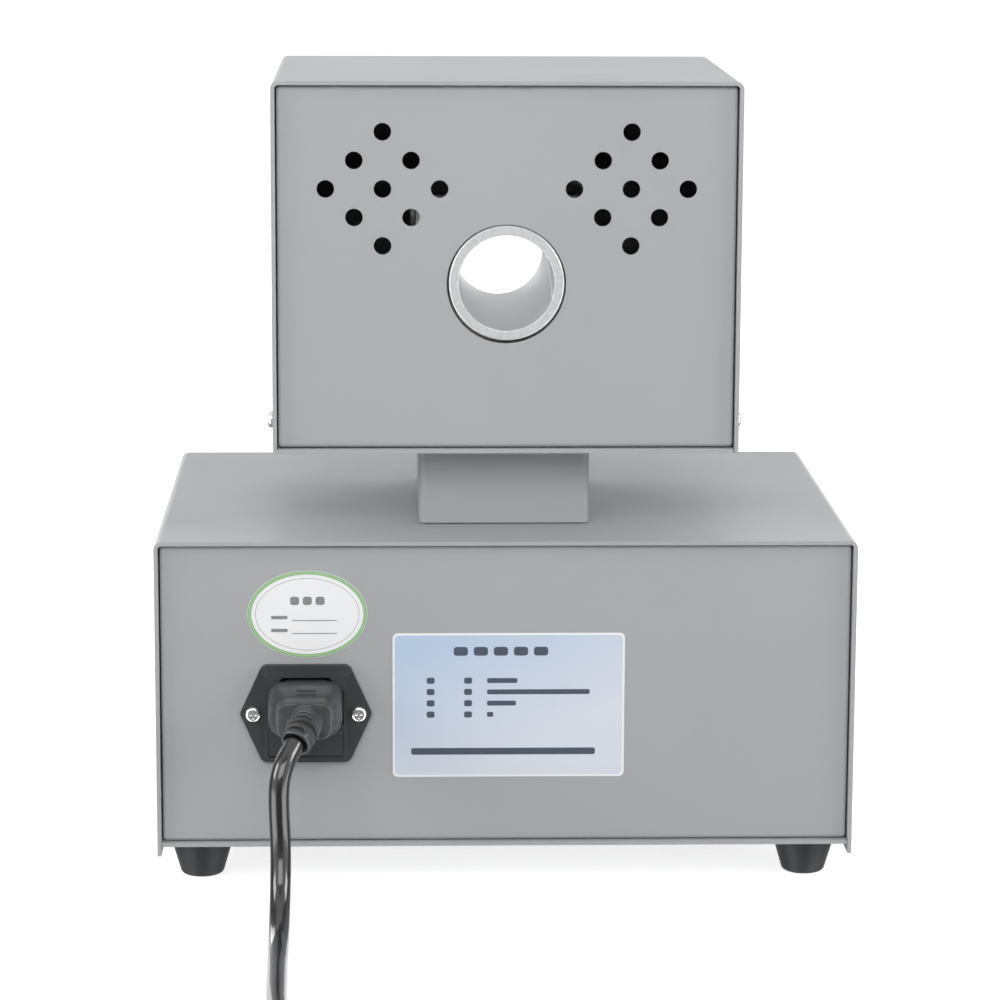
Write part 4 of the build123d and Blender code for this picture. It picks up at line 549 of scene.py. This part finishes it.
# Six slits, from alternate sides: the angle at each one's middle and how far round it reaches, as a cosine
SLIT_SIDES = ((0.3, -0.15), (math.pi - 0.55, 0.0))
slit = np.zeros((len(distance), len(angle)))
for number in range(6):
    facing, reach = SLIT_SIDES[number % 2]
    across_slit = np.exp(-np.abs((distance - 4.4 - 2.8 * number) / SLIT_HALF_WIDTH) ** 6)[:, None]
    round_slit = 1 / (1 + np.exp(-(np.cos(angle - facing) - reach) * 16))
    slit = np.maximum(slit, across_slit * round_slit)
before_lip = (distance < RELIEF_LENGTH - 1.55)[:, None]
radius_grid = radius[:, None] - SLIT_DEPTH * slit * before_lip
relief_shell = skin(tube_about(distance, radius_grid, angle), caps=True)
piece("mains_strain_relief", [relief_shell], soft_pvc, "machine", ["strain_relief"], sharp=50)

# The near-black core just under the surface that the slits open to: painted shade, so that the slits look
# dark from any side
core_reach = np.linspace(1.5, RELIEF_LENGTH - 1.4, 40)
core_radius = (RELIEF_RADIUS - RELIEF_TAPER * core_reach / RELIEF_LENGTH - CORE_COVER)[:, None]
core_shell = skin(tube_about(core_reach, core_radius, angle), caps=True)
piece("strain_relief_core", [core_shell], slit_painted_shade, "machine")


# Mains cord: the route's points, then the turns of the coil put away behind the object

ROUTE = [
    (78.667, 148.3, 70.069), (81.513, 153.653, 66.569), (84.2, 157.4, 59.2), (84.5, 158.7, 49.2),
    (83.7, 159.6, 34.0), (83.9, 166.5, 17.5), (84.1, 180.5, 6.8), (84.0, 199.0, 4.0), (83.6, 221.0, 4.0),
    (83.2, 245.0, 4.0), (80.8, 274.0, 4.3), (78.5, 303.0, COIL_Z), (78.5, 330.3, COIL_Z),
]
# Two layers of flat spiral: quarters counted from the first turn, with the radius and height at some of them
TURN_POINTS = 16
QUARTERS = 21
quarter = np.arange(0, QUARTERS + 0.01, 4 / TURN_POINTS)[1:]
known_quarters = [0, 0.5, 10, 10.5, 11, 11.5, 12, 19, 20, QUARTERS]
known_radii = [50, 49.6, 29.3, 28.3, 28.2, 28.9, 30.2, 44.9, 47.5, 50]
coil_radius = np.interp(quarter, known_quarters, known_radii)
rise = np.clip((quarter - 10) / 2, 0, 1)
last_rise = np.clip((quarter - 19) / 2, 0, 1)
UPPER_LAYER, LAST_LIFT = 8.4, 5.6
smooth_rises = [(1 - np.cos(math.pi * share)) / 2 for share in (rise, last_rise)]
coil_height = COIL_Z + UPPER_LAYER * smooth_rises[0] + LAST_LIFT * smooth_rises[1]
# The spline passes inside its points, at cos(pi / points a turn) of their radius
swelling = 1 / math.cos(math.pi / TURN_POINTS)
turn = quarter * math.pi / 2
swollen = swelling * coil_radius
coil = np.stack([COIL_X + swollen * np.cos(turn), COIL_Y + swollen * np.sin(turn), coil_height], -1)
TAIL = [(20.0, PLUG_Y, PLUG_Z), (PLUG_X, PLUG_Y, PLUG_Z)]
cord_points = np.vstack([ROUTE, coil[:-1], TAIL]) * MM

CORD_DIAMETER = 7.7
line = bpy.data.curves.new("mains_cord", "CURVE")
line.dimensions = "3D"
line.resolution_u = 8
line.bevel_depth = CORD_DIAMETER * MM / 2
line.bevel_resolution = 7
line.use_fill_caps = True
spline = line.splines.new("NURBS")
spline.points.add(len(cord_points) - 1)
spline.points.foreach_set("co", np.hstack([cord_points, np.ones((len(cord_points), 1))]).ravel())
spline.order_u = 3
spline.use_endpoint_u = True
spline.use_smooth = True
cord = bpy.data.objects.new("mains_cord", line)
bpy.context.scene.collection.objects.link(cord)
line.materials.append(jacket)
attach(cord, "machine")
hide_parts("cord", "cord_coil")

# Plug: relief with grooves, waist, round grip with shallow finger flutes, and two pins with sleeves
plug_profile = [(0, 0.0), (0, 4.6), (0.5, 5.2)]
for number in range(6):
    start = 2.5 + 4.4 * number
    grown = 5.2 + 0.08 * start
    groove = [(0.0, 0.0), (0.3, -1.0), (1.4, -0.95), (1.7, 0.15)]
    plug_profile += [(start + ahead, grown + outward) for ahead, outward in groove]
plug_profile += [
    (29.4, 7.5), (30.0, 8.6), (30.6, 12.6), (31.6, 13.3), (34.0, 13.6), (38.0, 15.0), (42.0, 17.4),
    (45.0, 18.7), (47.5, 19.0), (55.0, 18.6), (60.0, 18.7), (65.0, 19.0), (66.6, 18.8), (67.6, 18.2),
    (68.0, 17.2), (68.0, 0.0),
]
plug_shell = turned(plug_profile, (PLUG_X, PLUG_Y, PLUG_Z), (-1, 0, 0), 96, closed=False)
plug = piece("plug_body", [plug_shell], soft_pvc, "machine", ["mains_plug"], sharp=35)
pin_profile = [(67.0, 0), (67.0, 2.4), (84.6, 2.4), (86.2, 1.9), (86.9, 1.1), (87.0, 0)]
sleeve_profile = [(67.5, 0), (67.5, 2.43), (76.8, 2.43), (77.0, 2.3), (77.0, 0)]
pins = []
sleeves = []
PIN_STEP = 9.5
for side_step in (-PIN_STEP, PIN_STEP):
    pin_place = (PLUG_X, PLUG_Y + side_step, PLUG_Z)
    pins.append(turned(pin_profile, pin_place, (-1, 0, 0), 32, closed=False))
    sleeves.append(turned(sleeve_profile, pin_place, (-1, 0, 0), 32, closed=False))
plug_pins = piece("plug_pins", pins, brass, "machine")
plug_sleeves = piece("plug_pin_sleeves", sleeves, soft_pvc, "machine")

# Tie: a flat strap round the bundle of turns
TIE_TURN = math.radians(205)
outward = np.array((math.cos(TIE_TURN), math.sin(TIE_TURN), 0.0))
along_turns = np.array((-math.sin(TIE_TURN), math.cos(TIE_TURN), 0.0))
INNER, OUTER, HIGH = 22.6, 55.4, 18.8
# Its rows run over the outside from one edge to the other, and back along the inside
strap_across = np.linspace(-7.8, 7.8, 15)
strap_thickness = 0.85 * (1 - (np.abs(strap_across) / 8.0) ** 8)
width_at = np.concatenate([strap_across, strap_across[::-1]])[:, None, None]
share = np.concatenate([strap_thickness, 0 * strap_thickness])[:, None, None]
loop_out = rounded(OUTER - INNER, HIGH, 2.6, 7)
loop_in = rounded(OUTER - INNER - 1.9, HIGH - 1.9, 1.7, 7)
loop = loop_in + (loop_out - loop_in) * share
strap_middle = np.array((COIL_X, COIL_Y, HIGH / 2)) + (INNER + OUTER) / 2 * outward
tie_rows = strap_middle + loop[..., :1] * outward + loop[..., 1:] * (0, 0, 1) + width_at * along_turns
tie_shell = skin(tie_rows, along=True)
tie = piece("cord_strap", [tie_shell], pile, "machine", ["cord_tie"], sharp=60)


# Labels: the printed field, a ruled frame and bars in place of lines of print

def bars(rows, origin, lift):
    """Round-ended bars of (middle to the left, middle up, length, height) about a point of the rear panel."""
    place = ((origin[0], BASE_FACE + lift, origin[1]), (-1, 0, 0), (0, 0, 1))
    return [
        print_of(rounded(length, height, height * 0.3, 4) + np.array((left, up)), *place)
        for left, up, length, height in rows
    ]


LABEL_THICKNESS = 0.2
RATING_X, RATING_Z = -1.0, 70.9
rating_middle = (RATING_X, BASE_FACE + LABEL_THICKNESS, RATING_Z)
field = print_of(rounded(86.4, 54.4, 1.6), rating_middle, (-1, 0, 0), (0, 0, 1), 0.02, 0.05)
piece("rating_label_field", [field], sky_print, "machine")
rating_rows = [(left, 21.0, 5.4, 3.4) for left in (-18.2, -10.6, -3.0, 4.6, 12.2)]
for row, length in enumerate((11.5, 39.0, 11.0, 2.4)):
    up = 9.6 - 4.4 * row
    rating_rows += [(-29.6, up, 3.0, 2.4), (-15.4, up, 3.0, 2.4), (-8.2 + length / 2, up, length, 1.9)]
rating_rows += [(-2.0, -18.0, 70.0, 2.6)]
piece("rating_label_bars", bars(rating_rows, (RATING_X, RATING_Z), 0.22), ink, "machine")

OVAL = (75.1, BASE_FACE + LABEL_THICKNESS, 106.4)
OVAL_PLACE = (OVAL, (-1, 0, 0), (0, 0, 1))
band = ring_print(oval(44.7, 33.1), oval(42.9, 31.3), *OVAL_PLACE)
piece("oval_label_ring", [band], light_green_ink, "machine")
edges = [
    ring_print(oval(width, height), oval(width - 0.5, height - 0.5), *OVAL_PLACE, thickness=0.04)
    for width, height in ((44.9, 33.3), (42.9, 31.3))
]
piece("oval_label_edges", edges, green_ink, "machine")
thin = ring_print(oval(39.2, 27.8), oval(38.9, 27.5), *OVAL_PLACE)
oval_rows = [(left, 5.2, 3.4, 3.2) for left in (-4.8, 0.0, 4.8)]
for up in (-1.2, -6.2):
    oval_rows += [(-10.6, up, 6.2, 1.3), (2.6, up - 1.2, 17.0, 0.35)]
oval_print = [thin] + bars(oval_rows, (OVAL[0], OVAL[2]), LABEL_THICKNESS)
piece("oval_label_lines", oval_print, grey_ink, "machine")


# Unlit digits behind the windows, marks on the keys and on the rocker

def digit_segments(middle_x, middle_z, width, height, thick, y):
    """The seven bars of one digit, each a hexagon pointed at both ends."""
    half = height / 4
    middle = thick / 2
    end, tip = width / 2 - thick, width / 2 - middle
    level = np.array([(-end, -middle), (end, -middle), (tip, 0), (end, middle), (-end, middle), (-tip, 0)])
    end, tip = half - thick * 0.7, half - thick * 0.2
    upright = np.array([(middle, -end), (middle, end), (0, tip), (-middle, end), (-middle, -end), (0, -tip)])
    places = [(level, 0, height / 2), (level, 0, 0), (level, 0, -height / 2)]
    places += [(upright, sx * width / 2, sz * half) for sx in (-1, 1) for sz in (-1, 1)]
    slant = 0.12
    return [
        print_of(
            np.stack([shape[:, 0] + dx + slant * (shape[:, 1] + dz), shape[:, 1] + dz], -1),
            (middle_x, y, middle_z), (1, 0, 0), (0, 0, 1), 0.06, 0.04,
        )
        for shape, dx, dz in places
    ]


DISPLAY_Y = -97.5
digits = []
THERMOSTAT_X, TIMER_X = -72.0, 18.0
for step in (-1.5, -0.5, 0.5, 1.5):
    digits += digit_segments(THERMOSTAT_X + 12.0 * step, 93.4, 7.6, 11.0, 1.3, DISPLAY_Y)
    digits += digit_segments(THERMOSTAT_X + 12.0 * step, 79.2, 6.4, 8.6, 1.1, DISPLAY_Y)
for step in (-1.5, -0.5, 0.5, 1.5):
    digits += digit_segments(TIMER_X + 9.6 * step, 86.0, 6.4, 11.0, 1.2, DISPLAY_Y)
piece("display_digits", digits, segment, "machine")

KEY_FRONT = -101.0
arrow = np.array([(-1.5, -0.9), (1.5, -0.9), (0.0, 1.2)])
glyphs = {"ring": None, "left": arrow[:, ::-1] * (-1, 1), "down": arrow * (1, -1), "up": arrow}
key_marks = (
    ("thermostat_key_1", -93.9, 55.0, "ring"), ("thermostat_key_2", -79.3, 55.0, "left"),
    ("thermostat_key_3", -64.7, 55.0, "down"), ("thermostat_key_4", -50.1, 55.0, "up"),
    ("timer_key_1", 3.0, 59.5, "ring"), ("timer_key_2", 18.0, 59.5, "down"),
    ("timer_key_3", 33.0, 59.5, "up"),
)
for body, x, z, kind in key_marks:
    place = ((x, KEY_FRONT, z), (1, 0, 0), (0, 0, 1))
    if kind == "ring":
        mark = ring_print(oval(2.8, 2.8, 32), oval(1.9, 1.9, 32), *place)
    else:
        mark = print_of(glyphs[kind], *place)
    piece(body + "_mark", [mark], white_ink, body)

ROCKER_X, ROCKER_Y, ROCKER_Z = 98.0, -93.0, 58.0
RIDGE_REACH, MARK_REACH = 5.5, 6.4
tilt = math.radians(10)
ridge_side = np.array((0, -math.cos(tilt), -math.sin(tilt)))
ridge = np.array((ROCKER_X, ROCKER_Y, ROCKER_Z)) + RIDGE_REACH * ridge_side
upper_up = (0, -math.sin(2 * tilt), math.cos(2 * tilt))
upper_middle = ridge + MARK_REACH * np.array(upper_up)
lower_middle = ridge - MARK_REACH * np.array((0, 0, 1.0))
stroke = print_of(rounded(0.9, 4.2, 0.25, 4), upper_middle, (1, 0, 0), upper_up)
circle = ring_print(oval(4.2, 4.2, 48), oval(2.8, 2.8, 48), lower_middle, (1, 0, 0), (0, 0, 1))
piece("rocker_marks", [stroke, circle], white_ink, "rocker")


# Camera: at the photograph's place, 1.42 m away and 10.7 degrees above level

def photo_camera(position, yaw, pitch, roll, lens):
    """A camera that looks along (-sin yaw cos pitch, -cos yaw cos pitch, -sin pitch), then turned by roll."""
    ahead = Vector((-math.sin(yaw) * math.cos(pitch), -math.cos(yaw) * math.cos(pitch), -math.sin(pitch)))
    level = Vector((-math.cos(yaw), math.sin(yaw), 0))
    above = level.cross(ahead)
    right = math.cos(roll) * level - math.sin(roll) * above
    upright = math.sin(roll) * level + math.cos(roll) * above
    data = bpy.data.cameras.new("photo_camera")
    data.lens = lens
    data.sensor_width = 36
    data.clip_end = 50
    made = bpy.data.objects.new("photo_camera", data)
    bpy.context.scene.collection.objects.link(made)
    turn = Matrix((right, upright, -ahead)).transposed().to_4x4()
    made.matrix_world = Matrix.Translation(position) @ turn
    bpy.context.scene.camera = made


photo_camera((0.0456, 1.4139, 0.4005), 0.0326, 0.1875, -0.0043, 128.73)


# Light

def softbox(name, position, target, width, height, watts):
    """A rectangular area lamp that looks from a position to a target, both in metres."""
    data = bpy.data.lights.new(name, "AREA")
    data.shape = "RECTANGLE"
    data.size = width
    data.size_y = height
    data.energy = watts
    lamp = bpy.data.objects.new(name, data)
    bpy.context.scene.collection.objects.link(lamp)
    lamp.location = position
    lamp.rotation_euler = (Vector(target) - Vector(position)).to_track_quat("-Z", "Y").to_euler()
    lamp.visible_camera = False


softbox("key_box", (0.1, 1.9, 1.2), (0, 0, 0.15), 1.8, 1.0, 24)
softbox("left_box", (1.7, 0.5, 0.9), (0, 0, 0.2), 0.8, 0.8, 15)
softbox("right_box", (-1.7, 0.5, 0.9), (0, 0, 0.2), 0.8, 0.8, 16)
softbox("front_left_box", (-1.1, -1.4, 0.9), (0, 0, 0.15), 0.8, 1.2, 11)
softbox("front_right_box", (1.1, -1.4, 0.9), (0, 0, 0.15), 0.8, 1.2, 11)


world = bpy.data.worlds.new("studio")
bpy.context.scene.world = world
world.use_nodes = True
tree = world.node_tree
sky = tree.nodes["Background"]
rays = add(tree, "ShaderNodeLightPath").outputs
direction = parts_of(tree, add(tree, "ShaderNodeTexCoord").outputs["Generated"])
diffuse_level = spread(tree, direction["Z"], 0.1, 0.6, 0.32, 0.05)
# What glossy surfaces see: two broad bright sheets, from about 30 to 85 degrees either side of +Y, brighter
# below the horizon, with a dark gap between them and an even grey behind. aside is the angle from +Y
aside = arithmetic(tree, "ARCTAN2", arithmetic(tree, "ABSOLUTE", direction["X"]), direction["Y"])
sheets = arithmetic(tree, "MULTIPLY", spread(tree, aside, 0.45, 0.65), spread(tree, aside, 1.65, 1.35))
sheets = arithmetic(tree, "MAXIMUM", sheets, spread(tree, direction["Z"], 0.8, 0.95))
even_grey = spread(tree, aside, 2.3, 2.7, 0.3, 1.3)
sheet_level = spread(tree, direction["Z"], -0.05, 0.05, 4.2, 1.3)
glossy_level = add(tree, "ShaderNodeMix", {0: sheets, 2: even_grey, 3: sheet_level}).outputs[0]
lit = add(tree, "ShaderNodeMix", {0: rays["Is Glossy Ray"], 2: diffuse_level, 3: glossy_level}).outputs[0]
shown = arithmetic(tree, "MAXIMUM", rays["Is Camera Ray"], rays["Is Transmission Ray"])
tree.links.new(add(tree, "ShaderNodeMix", {0: shown, 2: lit, 3: 1.0}).outputs[0], sky.inputs["Strength"])
sky.inputs["Color"].default_value = (1, 1, 1, 1)

# Floor: white, and brighter to the camera so that it meets the background, with the object's shadow kept
floor_mesh = bpy.data.meshes.new("floor")
floor_mesh.from_pydata([(-7, -7, 0), (7, -7, 0), (7, 7, 0), (-7, 7, 0)], [], [(0, 1, 2, 3)])
floor = bpy.data.objects.new("floor", floor_mesh)
bpy.context.scene.collection.objects.link(floor)
paper = bpy.data.materials.new("matt_white_paper")
paper.use_nodes = True
tree = paper.node_tree
shader = tree.nodes["Principled BSDF"]
shader.inputs["Roughness"].default_value = 0.9
shader.inputs["Specular IOR Level"].default_value = 0.1
shader.inputs["Emission Color"].default_value = (1, 1, 1, 1)
rays = add(tree, "ShaderNodeLightPath").outputs
shown = arithmetic(tree, "MAXIMUM", rays["Is Camera Ray"], rays["Is Transmission Ray"])
shader.inputs["Base Color"].default_value = (0.6, 0.6, 0.6, 1)
place = add(tree, "ShaderNodeTexCoord").outputs["Object"]
distance_out = add(tree, "ShaderNodeVectorMath", {0: place}, operation="LENGTH").outputs["Value"]
glow = arithmetic(tree, "MULTIPLY", shown, spread(tree, distance_out, 0.3, 1.5, 0.78, 1.0))
tree.links.new(glow, shader.inputs["Emission Strength"])
# Glossy surfaces see the bright sheets through it
clear = add(tree, "ShaderNodeBsdfTransparent").outputs[0]
choice = {0: rays["Is Glossy Ray"], 1: shader.outputs[0], 2: clear}
mixed = add(tree, "ShaderNodeMixShader", choice).outputs[0]
tree.links.new(mixed, tree.nodes["Material Output"].inputs["Surface"])
floor_mesh.materials.append(paper)

bpy.context.scene.view_settings.view_transform = "Standard"
